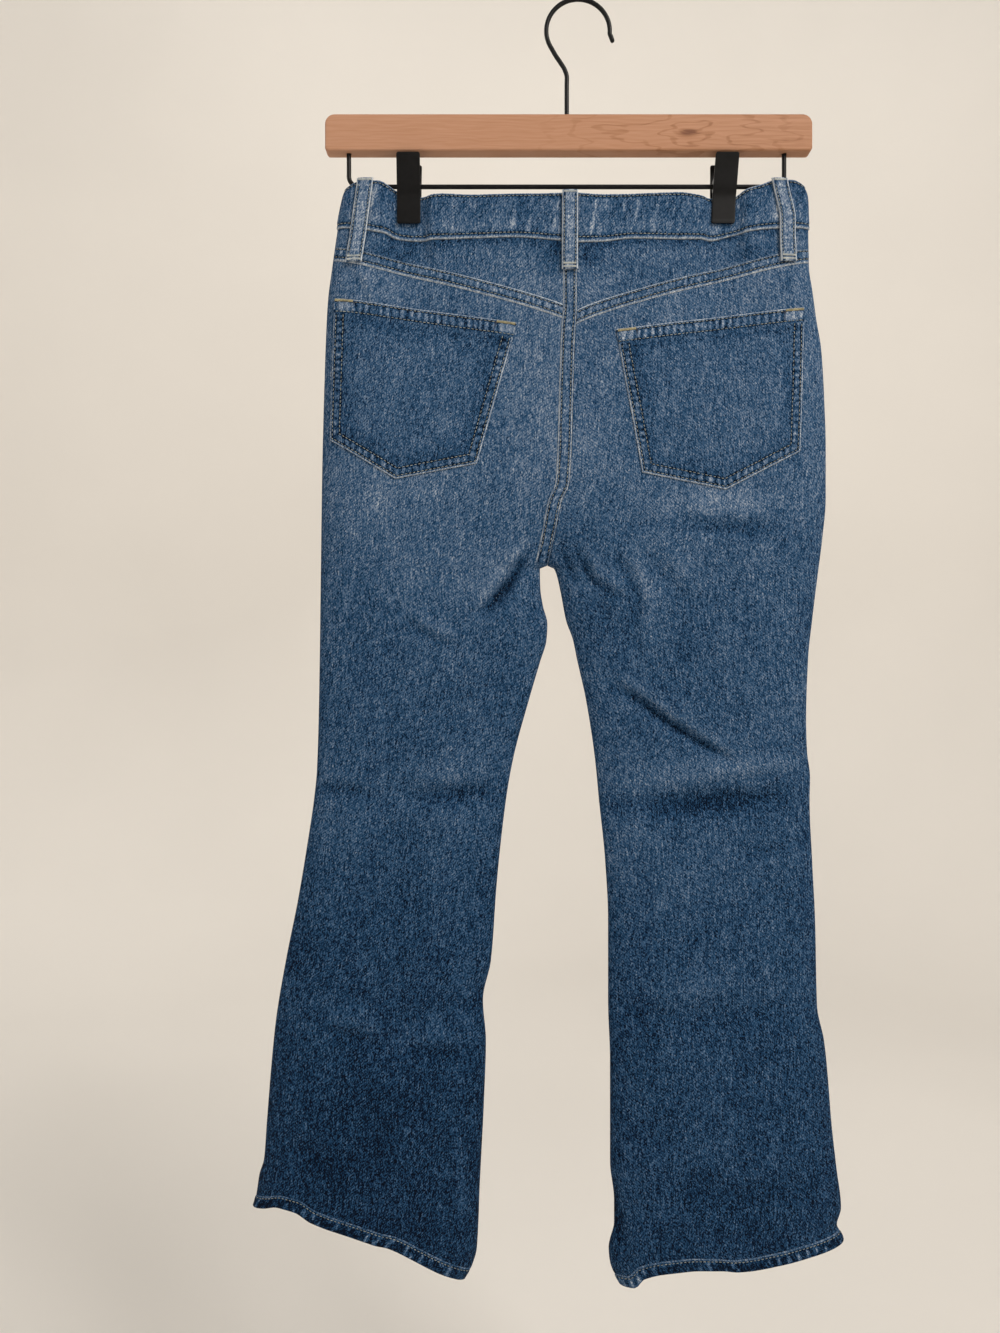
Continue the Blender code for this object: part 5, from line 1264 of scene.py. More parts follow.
def stitch_tree():
    """Lays one rounded stitch on every point, along its run, with its back to the cloth."""
    tree = bpy.data.node_groups.new("stitches", "GeometryNodeTree")
    face = tree.interface
    face.new_socket("Geometry", in_out="INPUT", socket_type="NodeSocketGeometry")
    for name in ("Stitch length", "Thread width", "Thread height", "Unevenness"):
        face.new_socket(name, in_out="INPUT", socket_type="NodeSocketFloat")
    face.new_socket("Seed", in_out="INPUT", socket_type="NodeSocketInt")
    face.new_socket("Thread", in_out="INPUT", socket_type="NodeSocketMaterial")
    face.new_socket("Geometry", in_out="OUTPUT", socket_type="NodeSocketGeometry")
    given = add(tree, "NodeGroupInput").outputs
    ball = add(tree, "GeometryNodeMeshUVSphere", {"Segments": 6, "Rings": 4, "Radius": 0.5})
    size = add(tree, "ShaderNodeCombineXYZ", {"X": given["Stitch length"], "Y": given["Thread width"],
                                              "Z": given["Thread height"]})
    stitch = add(tree, "GeometryNodeTransform", {"Geometry": ball.outputs["Mesh"], "Scale": size.outputs[0]})
    run = add(tree, "GeometryNodeInputNamedAttribute", {"Name": "run"}, data_type="FLOAT_VECTOR")
    out = add(tree, "GeometryNodeInputNamedAttribute", {"Name": "out"}, data_type="FLOAT_VECTOR")
    lie = add(tree, "FunctionNodeAlignRotationToVector", {"Vector": run.outputs[0]}, axis="X")
    stand = add(tree, "FunctionNodeAlignRotationToVector",
                {"Rotation": lie.outputs[0], "Vector": out.outputs[0]}, axis="Z", pivot_axis="X")
    least = add(tree, "ShaderNodeMath", {0: 1.0, 1: given["Unevenness"]}, operation="SUBTRACT")
    most = add(tree, "ShaderNodeMath", {0: 1.0, 1: given["Unevenness"]}, operation="ADD")
    scale = add(tree, "FunctionNodeRandomValue", {"Min": least.outputs[0], "Max": most.outputs[0],
                                                  "Seed": given["Seed"]}, data_type="FLOAT")
    number_sockets = {s.name: s for s in scale.inputs if s.type == "VALUE"}
    for socket, value in (("Min", least), ("Max", most)):
        tree.links.new(value.outputs[0], number_sockets[socket])
    laid = add(tree, "GeometryNodeInstanceOnPoints",
               {"Points": given["Geometry"], "Instance": stitch.outputs[0], "Rotation": stand.outputs[0]})
    amount = [s for s in scale.outputs if s.type == "VALUE"][0]
    tree.links.new(amount, laid.inputs["Scale"])
    real = add(tree, "GeometryNodeRealizeInstances", {"Geometry": laid.outputs[0]})
    coloured = add(tree, "GeometryNodeSetMaterial",
                   {"Geometry": real.outputs[0], "Material": given["Thread"]})
    end = add(tree, "NodeGroupOutput")
    tree.links.new(coloured.outputs[0], end.inputs[0])
    return tree


def stitches(name, points, run, out, material, length, width, height, seed):
    """A plain mesh of stitches made by the stitch tree, sizes in millimetres."""
    mesh = bpy.data.meshes.new(name + "_points")
    mesh.from_pydata((points * MM).tolist(), [], [])
    for key, values in (("run", run), ("out", out)):
        mesh.attributes.new(key, "FLOAT_VECTOR", "POINT").data.foreach_set("vector", values.ravel())
    guide = bpy.data.objects.new(name + "_points", mesh)
    bpy.context.scene.collection.objects.link(guide)
    layer = guide.modifiers.new("stitches", "NODES")
    layer.node_group = STITCH_TREE
    given = {"Stitch length": length * MM, "Thread width": width * MM, "Thread height": height * MM,
             "Unevenness": 0.1, "Seed": seed, "Thread": material}
    for item in STITCH_TREE.interface.items_tree:
        if item.in_out == "INPUT" and item.name in given:
            layer[item.identifier] = given[item.name]
    seen = guide.evaluated_get(bpy.context.evaluated_depsgraph_get())
    made = bpy.data.meshes.new_from_object(seen)
    guide.modifiers.remove(layer)
    bpy.data.objects.remove(guide)
    made.name = name
    for key in [a.name for a in made.attributes if a.name in ("run", "out")]:
        made.attributes.remove(made.attributes[key])
    made.polygons.foreach_set("use_smooth", np.ones(len(made.polygons), bool))
    return place_piece(name, made, material)


def lay_stitches():
    """One piece for each kind of thread: its name, thread, and a stitch's length, width and height."""
    kinds = {"back": ("topstitching_seat", THREAD, 2.3, 0.62, 0.5),
             "front": ("topstitching_front", THREAD, 2.3, 0.62, 0.5),
             "hems": ("topstitching_hems", THREAD, 2.1, 0.55, 0.45),
             "tacks": ("bartacks_pockets", TACK_THREAD, 2.3, 0.6, 0.5),
             "tacks_dark": ("bartacks_pocket_sides", DARK_THREAD, 2.0, 0.6, 0.45),
             "tacks_pale": ("bartacks_loops", PALE_THREAD, 1.9, 0.6, 0.5)}
    for seed, (kind, (name, material, length, width, height)) in enumerate(kinds.items()):
        points, run, out = (np.concatenate(part) for part in zip(*SEWING[kind]))
        settle(stitches(name, points, run, out, material, length, width, height, seed), "denim")


# -------------------- finishes

def linear(code):
    """An sRGB hex colour as the linear numbers the shaders take."""
    parts = [int(code[i:i + 2], 16) / 255 for i in (1, 3, 5)]
    return tuple(c / 12.92 if c <= 0.04045 else ((c + 0.055) / 1.055) ** 2.4 for c in parts) + (1.0,)


def new_material(name):
    """An empty material, with its tree."""
    material = bpy.data.materials.new(name)
    material.use_nodes = True
    material.node_tree.nodes.clear()
    return material, material.node_tree


def finished(material, sockets):
    """The material with its surface, which takes these sockets."""
    surface = add(material.node_tree, "ShaderNodeBsdfPrincipled", sockets)
    add(material.node_tree, "ShaderNodeOutputMaterial", {"Surface": surface.outputs[0]})
    return material


def cloth_map(tree):
    """Places on the flat cloth, in millimetres."""
    metres = add(tree, "ShaderNodeUVMap", uv_map="cloth").outputs[0]
    return add(tree, "ShaderNodeVectorMath", {0: metres, 1: (1000, 1000, 1000)},
               operation="MULTIPLY").outputs[0]


def patches(tree, place, size, detail, rough=0.5, dimensions="3D"):
    """Noise from 0 to 1 whose bumps have this size, in the units of place."""
    place = add(tree, "ShaderNodeVectorMath", {0: place, 1: tuple(1 / s for s in size)}, operation="MULTIPLY")
    return add(tree, "ShaderNodeTexNoise",
               {"Vector": place.outputs[0], "Scale": 1.0, "Detail": detail, "Roughness": rough},
               noise_dimensions=dimensions).outputs[0]


def wear_patches(tree, size, detail):
    """Noise fixed to the object, its bumps of this size in metres."""
    return patches(tree, add(tree, "ShaderNodeTexCoord").outputs["Object"], (size, size, size), detail)


def cells(tree, place, size):
    """A random number from 0 to 1 for each small cell of this size."""
    place = add(tree, "ShaderNodeVectorMath", {0: place, 1: tuple(1 / s for s in size)}, operation="MULTIPLY")
    cell = add(tree, "ShaderNodeTexVoronoi", {"Vector": place.outputs[0], "Scale": 1.0},
               voronoi_dimensions="2D")
    return add(tree, "ShaderNodeSeparateColor", {0: cell.outputs["Color"]}).outputs[0]


def plus(tree, a, b, times=1.0, offset=0.0):
    """a + (b - offset) * times."""
    part = add(tree, "ShaderNodeMath", {0: b, 1: times, 2: -offset * times}, operation="MULTIPLY_ADD")
    return add(tree, "ShaderNodeMath", {0: a, 1: part.outputs[0]}, operation="ADD").outputs[0]


INDIGO = ((0.00, "#040d1c"), (0.10, "#07182d"), (0.20, "#0e2640"), (0.35, "#1b3b5a"), (0.50, "#304d6c"),
          (0.65, "#4c637e"), (0.80, "#6f7e93"), (0.95, "#98a2ae"), (1.10, "#c0c6cb"))
MOST_FADED = 1.2
WRONG_SIDE = ((0.2, "#62707f"), (0.5, "#8492a0"), (0.8, "#a9b4bd"))


def denim_material():
    """Indigo denim, washed and worn: pale slubs along the warp, a fine twill, and the tone held in the fade
    attribute: fading along the sewing, with painted shade and highlight in it.
    """
    # Matt cotton: next to no gloss, a trace of fuzz at a low angle
    material, tree = new_material("indigo_denim")
    cloth = cloth_map(tree)
    # fade holds the dye's fade and the painted shade and highlight laid in with it: darker troughs, stitch
    # grooves and spots under the waistband, paler crests
    fade = add(tree, "ShaderNodeAttribute", attribute_name="fade").outputs["Fac"]
    inside = add(tree, "ShaderNodeAttribute", attribute_name="inside").outputs["Fac"]
    slubs = patches(tree, cloth, (0.9, 2.4, 1), 1.0, 0.5, "2D")
    lines = patches(tree, cloth, (1.1, 16.0, 1), 1.0, 0.5, "2D")
    broad = patches(tree, cloth, (14.0, 60.0, 1), 2.0, 0.5, "2D")
    # Yarns are 0.45 mm thick, too fine to show, and are drawn about 0.65 mm
    yarns = cells(tree, cloth, (0.60, 1.15, 1))
    streaks = cells(tree, cloth, (0.80, 3.6, 1))
    # Twill lines are 1.0 mm apart on the cloth, too fine to show, and are drawn 1.7 mm apart
    turned = add(tree, "ShaderNodeVectorMath", {0: cloth, 1: (-1, 1, 1)}, operation="MULTIPLY").outputs[0]
    twill = add(tree, "ShaderNodeTexWave", {"Vector": turned, "Scale": 0.261, "Distortion": 1.6,
                                            "Detail": 1.0, "Detail Scale": 0.6},
                wave_type="BANDS", bands_direction="DIAGONAL").outputs["Fac"]
    grain = 0.0
    for pattern, share in ((slubs, 0.08), (lines, 0.36), (yarns, 0.50), (streaks, 0.16), (twill, 0.10)):
        grain = plus(tree, grain, pattern, share, 0.5)
    # Deep indigo shows its pale yarns more than the worn places do
    strength = add(tree, "ShaderNodeMath", {0: fade, 1: -0.65, 2: 1.30}, operation="MULTIPLY_ADD").outputs[0]
    shown = add(tree, "ShaderNodeMath", {0: grain, 1: strength}, operation="MULTIPLY").outputs[0]
    tone = plus(tree, plus(tree, fade, shown), broad, 0.08, 0.5)
    tone = add(tree, "ShaderNodeMath", {0: tone, 1: MOST_FADED}, operation="DIVIDE").outputs[0]
    outer = add(tree, "ShaderNodeValToRGB", {"Fac": tone},
                stops=[(place / MOST_FADED, colour) for place, colour in INDIGO]).outputs[0]
    wrong = add(tree, "ShaderNodeValToRGB", {"Fac": tone}, stops=WRONG_SIDE).outputs[0]
    colour = add(tree, "ShaderNodeMix", {"Factor": inside, 6: outer, 7: wrong}, data_type="RGBA").outputs[2]
    height = plus(tree, twill, grain, 1.4, 0.0)
    bump = add(tree, "ShaderNodeBump", {"Height": height, "Strength": 0.35, "Distance": 0.0004}).outputs[0]
    return finished(material, {"Base Color": colour, "Roughness": 0.92, "Sheen Weight": 0.02,
                               "Sheen Roughness": 0.5, "Specular IOR Level": 0.05, "Normal": bump})


def thread_material(name, dark, pale):
    """Spun cotton sewing thread, dulled by washing and a little uneven along its length."""
    # Matt, with a trace of fuzz
    material, tree = new_material(name)
    colour = add(tree, "ShaderNodeValToRGB", {"Fac": wear_patches(tree, 0.006, 2.0)},
                 stops=((0.3, dark), (0.7, pale))).outputs[0]
    return finished(material, {"Base Color": colour, "Roughness": 0.75, "Sheen Weight": 0.1})


def tape_material():
    """Woven cotton zip tape, dyed navy."""
    # Matt
    material, tree = new_material("cotton_zip_tape")
    weave = patches(tree, cloth_map(tree), (0.8, 0.8, 1), 2.0, 0.5, "2D")
    colour = add(tree, "ShaderNodeValToRGB", {"Fac": weave}, stops=((0.3, "#141d2b"), (0.7, "#26344a")))
    return finished(material, {"Base Color": colour.outputs[0], "Roughness": 0.9})


def metal_material(name, dark, pale, roughness, metallic, gloss=0.5):
    """Metal, bare or enamelled, with a slightly uneven finish."""
    # Bare brass and steel reflect softly; stoved black enamel keeps a dull shine
    material, tree = new_material(name)
    wear = wear_patches(tree, 0.004, 3.0)
    shine = add(tree, "ShaderNodeMath", {0: wear, 1: 0.16, 2: roughness - 0.08}, operation="MULTIPLY_ADD")
    colour = add(tree, "ShaderNodeValToRGB", {"Fac": wear}, stops=((0.3, dark), (0.7, pale)))
    return finished(material, {"Base Color": colour.outputs[0], "Roughness": shine.outputs[0],
                               "Metallic": metallic, "Specular IOR Level": gloss})


KNOT = (0.0827, -0.1044)   # x and z of the bar's knot
HARDWOOD = ((0.0, "#6e432b"), (0.25, "#986a4b"), (0.45, "#a97b5d"), (0.62, "#b18468"), (0.85, "#bb9176"))


def wood_material():
    """Clear-varnished hardwood: grain along the bar, one small knot, a wavy figure."""
    # Satin varnish: a broad, weak shine over fine fibres
    material, tree = new_material("varnished_wood")
    place = add(tree, "ShaderNodeTexCoord").outputs["Object"]
    x, _, z = add(tree, "ShaderNodeSeparateXYZ", {0: place}).outputs
    wander = patches(tree, place, (0.045, 0.02, 0.010), 2.0)
    from_knot = add(tree, "ShaderNodeVectorMath", {0: place, 1: (KNOT[0], 0.0, KNOT[1])},
                    operation="SUBTRACT").outputs[0]

    def knot_distance(scale):
        scaled = add(tree, "ShaderNodeVectorMath", {0: from_knot, 1: scale}, operation="MULTIPLY")
        return add(tree, "ShaderNodeVectorMath", {0: scaled.outputs[0]}, operation="LENGTH").outputs["Value"]

    knot = add(tree, "ShaderNodeMapRange", {"Value": knot_distance((70, 30, 190)), "From Min": 0.0,
                                            "From Max": 1.0, "To Min": 1.0, "To Max": 0.0},
               interpolation_type="SMOOTHSTEP").outputs[0]
    # Growth lines 3.3 mm apart
    level = plus(tree, plus(tree, z, wander, 0.012, 0.5), knot, 0.006, 0.0)
    rings = add(tree, "ShaderNodeMath", {0: level, 1: 1900.0}, operation="MULTIPLY").outputs[0]
    rings = add(tree, "ShaderNodeMath", {0: rings}, operation="SINE").outputs[0]
    # Arched figure: the growth lines bend wide round the knot, and fade out along the bar
    wide = plus(tree, knot_distance((24, 20, 62)), wander, 2.6, 0.5)
    arches = add(tree, "ShaderNodeMath", {0: wide, 1: 7.5}, operation="MULTIPLY").outputs[0]
    arches = add(tree, "ShaderNodeMath", {0: arches}, operation="SINE").outputs[0]
    arches = add(tree, "ShaderNodeMapRange", {"Value": arches, "From Min": 0.70, "From Max": 1.0},
                 interpolation_type="SMOOTHSTEP").outputs[0]
    near_knot = add(tree, "ShaderNodeMapRange", {"Value": wide, "From Min": 0.6, "From Max": 3.6,
                                                 "To Min": 1.0, "To Max": 0.0}).outputs[0]
    arches = add(tree, "ShaderNodeMath", {0: arches, 1: near_knot}, operation="MULTIPLY").outputs[0]
    fibre = patches(tree, place, (0.030, 0.0008, 0.0006), 3.0, 0.6)
    broad = patches(tree, place, (0.10, 0.02, 0.008), 2.0)
    tone = plus(tree, 0.25, fibre, 0.5, 0.0)
    for pattern, share, offset in ((rings, 0.04, 0.0), (broad, 0.14, 0.5), (knot, -0.45, 0.0),
                                   (arches, -0.20, 0.0), (x, -0.6, 0.0)):
        tone = plus(tree, tone, pattern, share, offset)
    colour = add(tree, "ShaderNodeValToRGB", {"Fac": tone}, stops=HARDWOOD).outputs[0]
    bump = add(tree, "ShaderNodeBump", {"Height": fibre, "Strength": 0.12, "Distance": 0.0003}).outputs[0]
    return finished(material, {"Base Color": colour, "Roughness": 0.6, "Specular IOR Level": 0.3,
                               "Normal": bump})


def wall_material():
    """Painted plaster, of the wall and the floor."""
    # Dead matt
    material, tree = new_material("pale_plaster")
    colour = add(tree, "ShaderNodeValToRGB", {"Fac": wear_patches(tree, 0.9, 2.0)},
                 stops=((0.3, "#dfdbd5"), (0.7, "#e4e0da"))).outputs[0]
    bump = add(tree, "ShaderNodeBump", {"Height": wear_patches(tree, 0.010, 3.0), "Strength": 0.15,
                                        "Distance": 0.0008}).outputs[0]
    return finished(material, {"Base Color": colour, "Roughness": 0.95, "Specular IOR Level": 0.1,
                               "Normal": bump})


# -------------------- hanger

def curve_through(points, step=0.8):
    """Points a step apart along a smooth curve through these."""
    points = np.array(points, float)
    lengths = np.concatenate([[0], np.cumsum(np.linalg.norm(np.diff(points, axis=0), axis=1))])
    at = np.linspace(0, lengths[-1], max(3, int(lengths[-1] / step)))
    return np.stack([smooth(at, lengths, points[:, k]) for k in range(3)], axis=-1)


def wire(name, path, across, material, sides):
    """A round wire with rounded ends along a dense path, in millimetres."""
    path = np.array(path, float)
    run = np.gradient(path, axis=0)
    run /= np.linalg.norm(run, axis=1, keepdims=True)
    side = np.zeros_like(run)
    side[0] = np.cross(run[0], (0.0, 1.0, 0.0))
    if np.linalg.norm(side[0]) < 0.1:
        side[0] = np.cross(run[0], (1.0, 0.0, 0.0))
    side[0] /= np.linalg.norm(side[0])
    for i in range(1, len(path)):
        side[i] = side[i - 1] - run[i] * np.dot(side[i - 1], run[i])
        side[i] /= np.linalg.norm(side[i])
    other = np.cross(run, side)
    radius = across / 2
    # A rounded end: how far in along the wire, as a part of its radius, and the angle round from its middle
    end = [(radius * part, radius * math.cos(math.radians(angle)))
           for part, angle in ((0.02, 75), (0.2, 50), (0.6, 20))]
    rings = [(path[0] + run[0] * far, side[0], other[0], wide) for far, wide in end]
    rings += [(path[i], side[i], other[i], radius) for i in range(len(path))
              if np.linalg.norm(path[i] - path[0]) > radius and np.linalg.norm(path[i] - path[-1]) > radius]
    rings += [(path[-1] - run[-1] * far, side[-1], other[-1], wide) for far, wide in reversed(end)]
    turn = np.arange(sides) * 2 * math.pi / sides
    points = [list(p + r * (math.cos(t) * s + math.sin(t) * o)) for p, s, o, r in rings for t in turn]
    faces = [[i * sides + j, i * sides + (j + 1) % sides,
              (i + 1) * sides + (j + 1) % sides, (i + 1) * sides + j]
             for i in range(len(rings) - 1) for j in range(sides)]
    faces += [list(range(sides))[::-1], [(len(rings) - 1) * sides + j for j in range(sides)]]
    return solid_piece(name, points, faces, material)


def solid_piece(name, points, faces, material):
    """A closed piece from points in millimetres, with its faces turned outwards."""
    mesh = bpy.data.meshes.new(name)
    mesh.from_pydata([[c * MM for c in p] for p in points], [], [list(f) for f in faces])
    shape = bmesh.new()
    shape.from_mesh(mesh)
    bmesh.ops.recalc_face_normals(shape, faces=shape.faces)
    shape.to_mesh(mesh)
    shape.free()
    mesh.polygons.foreach_set("use_smooth", np.ones(len(mesh.polygons), bool))
    mesh.set_sharp_from_angle(angle=math.radians(40))
    return place_piece(name, mesh, material)


def arc(centre, radius, start, end, steps):
    """Points of an arc in the XZ plane, angles in degrees."""
    return [(centre[0] + radius * math.cos(math.radians(start + (end - start) * i / steps)), 0.0,
             centre[1] + radius * math.sin(math.radians(start + (end - start) * i / steps)))
            for i in range(steps + 1)]


def cylinder(radius, start, end):
    """A loose cylinder to cut with, in millimetres."""
    a, b = Vector(start), Vector(end)
    mesh = bpy.data.meshes.new("cutter")
    tube = bmesh.new()
    bmesh.ops.create_cone(tube, cap_ends=True, segments=32, radius1=radius * MM, radius2=radius * MM,
                          depth=(b - a).length * MM)
    turn = (b - a).to_track_quat("Z", "Y").to_matrix().to_4x4()
    bmesh.ops.transform(tube, matrix=Matrix.Translation((a + b) / 2 * MM) @ turn, verts=tube.verts)
    tube.to_mesh(mesh)
    tube.free()
    cutter = bpy.data.objects.new("cutter", mesh)
    bpy.context.scene.collection.objects.link(cutter)
    return cutter


def worked(piece, steps, segments):
    """The piece after its steps in order, bevels, cuts and joins, as a plain mesh."""
    for operation, other in steps:
        if operation == "BEVEL":
            edge = piece.modifiers.new("edges", "BEVEL")
            edge.width, edge.segments, edge.limit_method = other * MM, segments, "ANGLE"
            edge.angle_limit = math.radians(35)
            continue
        step = piece.modifiers.new("shape", "BOOLEAN")
        step.operation, step.object, step.solver = operation, other, "EXACT"
    seen = piece.evaluated_get(bpy.context.evaluated_depsgraph_get())
    made = bpy.data.meshes.new_from_object(seen)
    piece.modifiers.clear()
    old = piece.data
    piece.data = made
    bpy.data.meshes.remove(old)
    made.name = piece.name
    made.polygons.foreach_set("use_smooth", np.ones(len(made.polygons), bool))
    made.set_sharp_from_angle(angle=math.radians(38))
    for _, other in steps:
        if isinstance(other, bpy.types.Object):
            bpy.data.objects.remove(other)
    return piece


def make_bar():
    """Wooden bar: a flat outline with round corners, given its depth and soft edges, bored for its wires."""
    top, low = BAR_TOP_CORNER, BAR_LOW_CORNER
    outline = []
    for x, z, radius, start in ((BAR_RIGHT - top, BAR_TOP - top, top, 0),
                                (BAR_LEFT + top, BAR_TOP - top, top, 90),
                                (BAR_LEFT + low, BAR_BOTTOM + low, low, 180),
                                (BAR_RIGHT - low, BAR_BOTTOM + low, low, 270)):
        outline += arc((x, z), radius, start, start + 90, 14)
    half = BAR_DEEP / 2
    count = len(outline)
    points = [(x, -half, z) for x, _, z in outline] + [(x, half, z) for x, _, z in outline]
    faces = [list(range(count)), list(range(count, 2 * count))[::-1]]
    faces += [[i, (i + 1) % count, (i + 1) % count + count, i + count] for i in range(count)]
    bar = solid_piece("hanger_bar_wood", points, faces, WOOD)
    steps = [("BEVEL", BAR_SOFT_EDGE + 0.4)]
    bores = [(HOOK_WIRE, HOOK_STEM_X, BAR_TOP + 5, BAR_TOP - HOOK_IN_BAR - GAP)]
    bores += [(ROD_WIRE, x, BAR_BOTTOM - 5, BAR_BOTTOM + ROD_IN_BAR + GAP) for x in (ROD_LEFT, ROD_RIGHT)]
    for across, x, start, end in bores:
        steps.append(("DIFFERENCE", cylinder(across / 2 + GAP, (x, 0, start), (x, 0, end))))
    settle(worked(bar, steps, segments=4), "wood", "hanger_bar")


def make_hook():
    """Wire hook: a straight stem in the bar, a neck that swings left, then the round bend."""
    neck = [(HOOK_STEM_X, 0, z) for z in (BAR_TOP - HOOK_IN_BAR, -100.0, -83.4, -70.0, -64.0)]
    neck += [(-8.6, 0, -58.5), (-10.3, 0, -52.5), (-13.6, 0, -47.0), (-17.0, 0, -42.0)]
    bend = arc((0, HOOK_CENTRE), HOOK_BEND, 212, -4, 60)
    tip = [(25.3, 0, -27.0), (26.9, 0, -31.6)]
    hook = wire("hanger_hook_wire", curve_through(neck + bend + tip), HOOK_WIRE, WIRE_BLACK, 24)
    settle(hook, "black_wire", "hanger_hook")


def make_rod():
    """Bent wire under the bar, with both ends up in it."""
    top = BAR_BOTTOM + ROD_IN_BAR
    centre_z = ROD_Z + ROD_BEND
    path = [(ROD_LEFT, 0, top), (ROD_LEFT, 0, -120), (ROD_LEFT, 0, centre_z)]
    path += arc((ROD_LEFT + ROD_BEND, centre_z), ROD_BEND, 184, 270, 16)
    path += [(x, 0, ROD_Z) for x in np.linspace(ROD_LEFT + ROD_BEND + 2, ROD_RIGHT - ROD_BEND - 2, 30)]
    path += arc((ROD_RIGHT - ROD_BEND, centre_z), ROD_BEND, 270, 356, 16)
    path += [(ROD_RIGHT, 0, centre_z), (ROD_RIGHT, 0, -120), (ROD_RIGHT, 0, top)]
    rod = wire("clip_rod_wire", curve_through(path, 1.0), ROD_WIRE, WIRE_BLACK, 24)
    settle(rod, "black_wire", "clip_rod")


def make_clips():
    """Two sprung clips, each a front jaw, a rear jaw and the spring between them."""
    for side in ("left", "right"):
        for place, toward in (("front", -1), ("rear", 1)):
            make_jaw(side, place, toward)
        make_spring(side)


def make_jaw(side, place, toward):
    """A bent sheet with two ears that carry it on the rod."""
    x_mid, lean = CLIP_X[side], CLIP_LEAN[side]
    grip = 0.15 + PINCH_HALF + BAND_PROUD + 2 * GAP + CLIP_SHEET / 2
    line = ((11.0, CLIP_TOP), (8.4, -133.0), (6.4, -144.5), (grip + 0.2, -151.5), (grip, -155.0),
            (grip, -169.5), (grip + 0.7, CLIP_FOOT))
    half, thick = CLIP_WIDE / 2, CLIP_SHEET / 2
    heights = np.concatenate([CLIP_TOP - JAW_CORNER * (1 - np.cos(np.linspace(0, math.pi / 2, 6))),
                              np.linspace(CLIP_TOP - JAW_CORNER - 1.5, CLIP_FOOT + 2.2, 44),
                              CLIP_FOOT + JAW_CORNER * (1 - np.sin(np.linspace(0, math.pi / 2, 6)))])
    off = smooth(-heights, [-z for _, z in line], [y for y, _ in line])
    corner = np.minimum(CLIP_TOP - heights, heights - CLIP_FOOT)
    rounding = np.clip(JAW_CORNER ** 2 - np.clip(JAW_CORNER - corner, 0, None) ** 2, 0, None)
    reach = half - JAW_CORNER + np.sqrt(rounding)
    across = np.linspace(-1, 1, 17)
    slope = np.gradient(off, -heights)
    lengths = np.sqrt(1 + slope ** 2)
    middle = x_mid + lean * (CLIP_TOP - heights) / (CLIP_TOP - CLIP_FOOT)
    x = middle[:, None] + reach[:, None] * across[None]
    walls = []
    for face in (1, -1):
        y = toward * (off + face * thick / lengths)[:, None] + 0 * x
        z = (heights + face * thick * slope / lengths)[:, None] + 0 * x
        walls.append(np.stack([x, y, z], axis=-1))
    jaw = closed_wall("clip_%s_%s_sheet" % (side, place), walls[0], walls[1], np.zeros(x.shape), SHEET_BLACK)
    ear_x = half - (FRONT_EAR_IN if place == "front" else REAR_EAR_IN)
    steps = [("BEVEL", 0.25)]
    for end in (-1, 1):
        middle = (x_mid + lean * LEAN_AT_ROD + end * ear_x, toward * EAR_REACH, ROD_Z)
        steps.append(("UNION", ear_block(middle)))
    steps.append(("DIFFERENCE", cylinder(ROD_WIRE / 2 + GAP, (x_mid - 12, 0, ROD_Z), (x_mid + 12, 0, ROD_Z))))
    settle(worked(jaw, steps, segments=2), "black_sheet", "clip_%s_%s" % (side, place))


def ear_block(middle):
    """A loose ear: a small plate with its free end rounded."""
    wide, deep, tall = EAR_SIZE
    mesh = bpy.data.meshes.new("ear")
    block = bmesh.new()
    bmesh.ops.create_cube(block, size=1.0)
    bmesh.ops.scale(block, vec=(wide * MM, deep * MM, tall * MM), verts=block.verts)
    along_x = [e for e in block.edges if abs(e.verts[0].co.x - e.verts[1].co.x) > 1e-6]
    bmesh.ops.bevel(block, geom=along_x, offset=2.4 * MM, segments=5, profile=0.5, affect="EDGES")
    bmesh.ops.translate(block, vec=tuple(c * MM for c in middle), verts=block.verts)
    block.to_mesh(mesh)
    block.free()
    ear = bpy.data.objects.new("ear", mesh)
    bpy.context.scene.collection.objects.link(ear)
    return ear


def make_spring(side):
    """Coil spring round the rod, its two ends up behind the jaws' tops."""
    x_start = CLIP_X[side] + CLIP_LEAN[side] * LEAN_AT_ROD - SPRING_LONG / 2
    turns = SPRING_TURNS - 0.5
    path = [(x_start, -y, z) for y, z in SPRING_END]
    count = 110
    for i in range(count + 1):
        part = i / count
        angle = math.radians(180 + 360 * turns * part)
        path.append((x_start + SPRING_LONG * part * turns / SPRING_TURNS, SPRING_COIL * math.cos(angle),
                     ROD_Z + SPRING_COIL * math.sin(angle)))
    path += [(x_start + SPRING_LONG, y, z) for y, z in reversed(SPRING_END)]
    spring = wire("clip_spring_%s_wire" % side, curve_through(path, 0.5), SPRING_WIRE, STEEL_WIRE, 12)
    settle(spring, "spring_steel", "clip_spring_" + side)


def make_metal():
    """The button and the slider keep their solids, with their edges softened."""
    for name in ("waist_button", "zip_slider"):
        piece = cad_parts[name]
        piece.data.materials.clear()
        piece.data.materials.append(BRASS_METAL)
        edge = piece.modifiers.new("soft_edges", "BEVEL")
        edge.width = 0.25 * MM
        edge.segments = 2
        edge.limit_method = "ANGLE"
        edge.angle_limit = math.radians(40)


# -------------------- the room

# In metres
ROOM_FLOOR, ROOM_TOP = -1.35, 3.0
ROOM_RADIUS, ROOM_BEND = 3.2, 1.2
WORLD_LIGHT = 0.38
CAMERA_PLACE = (-0.060, -0.800, -0.5115)
CAMERA_LENS, CAMERA_SENSOR = 28.087, 36.0    # in millimetres


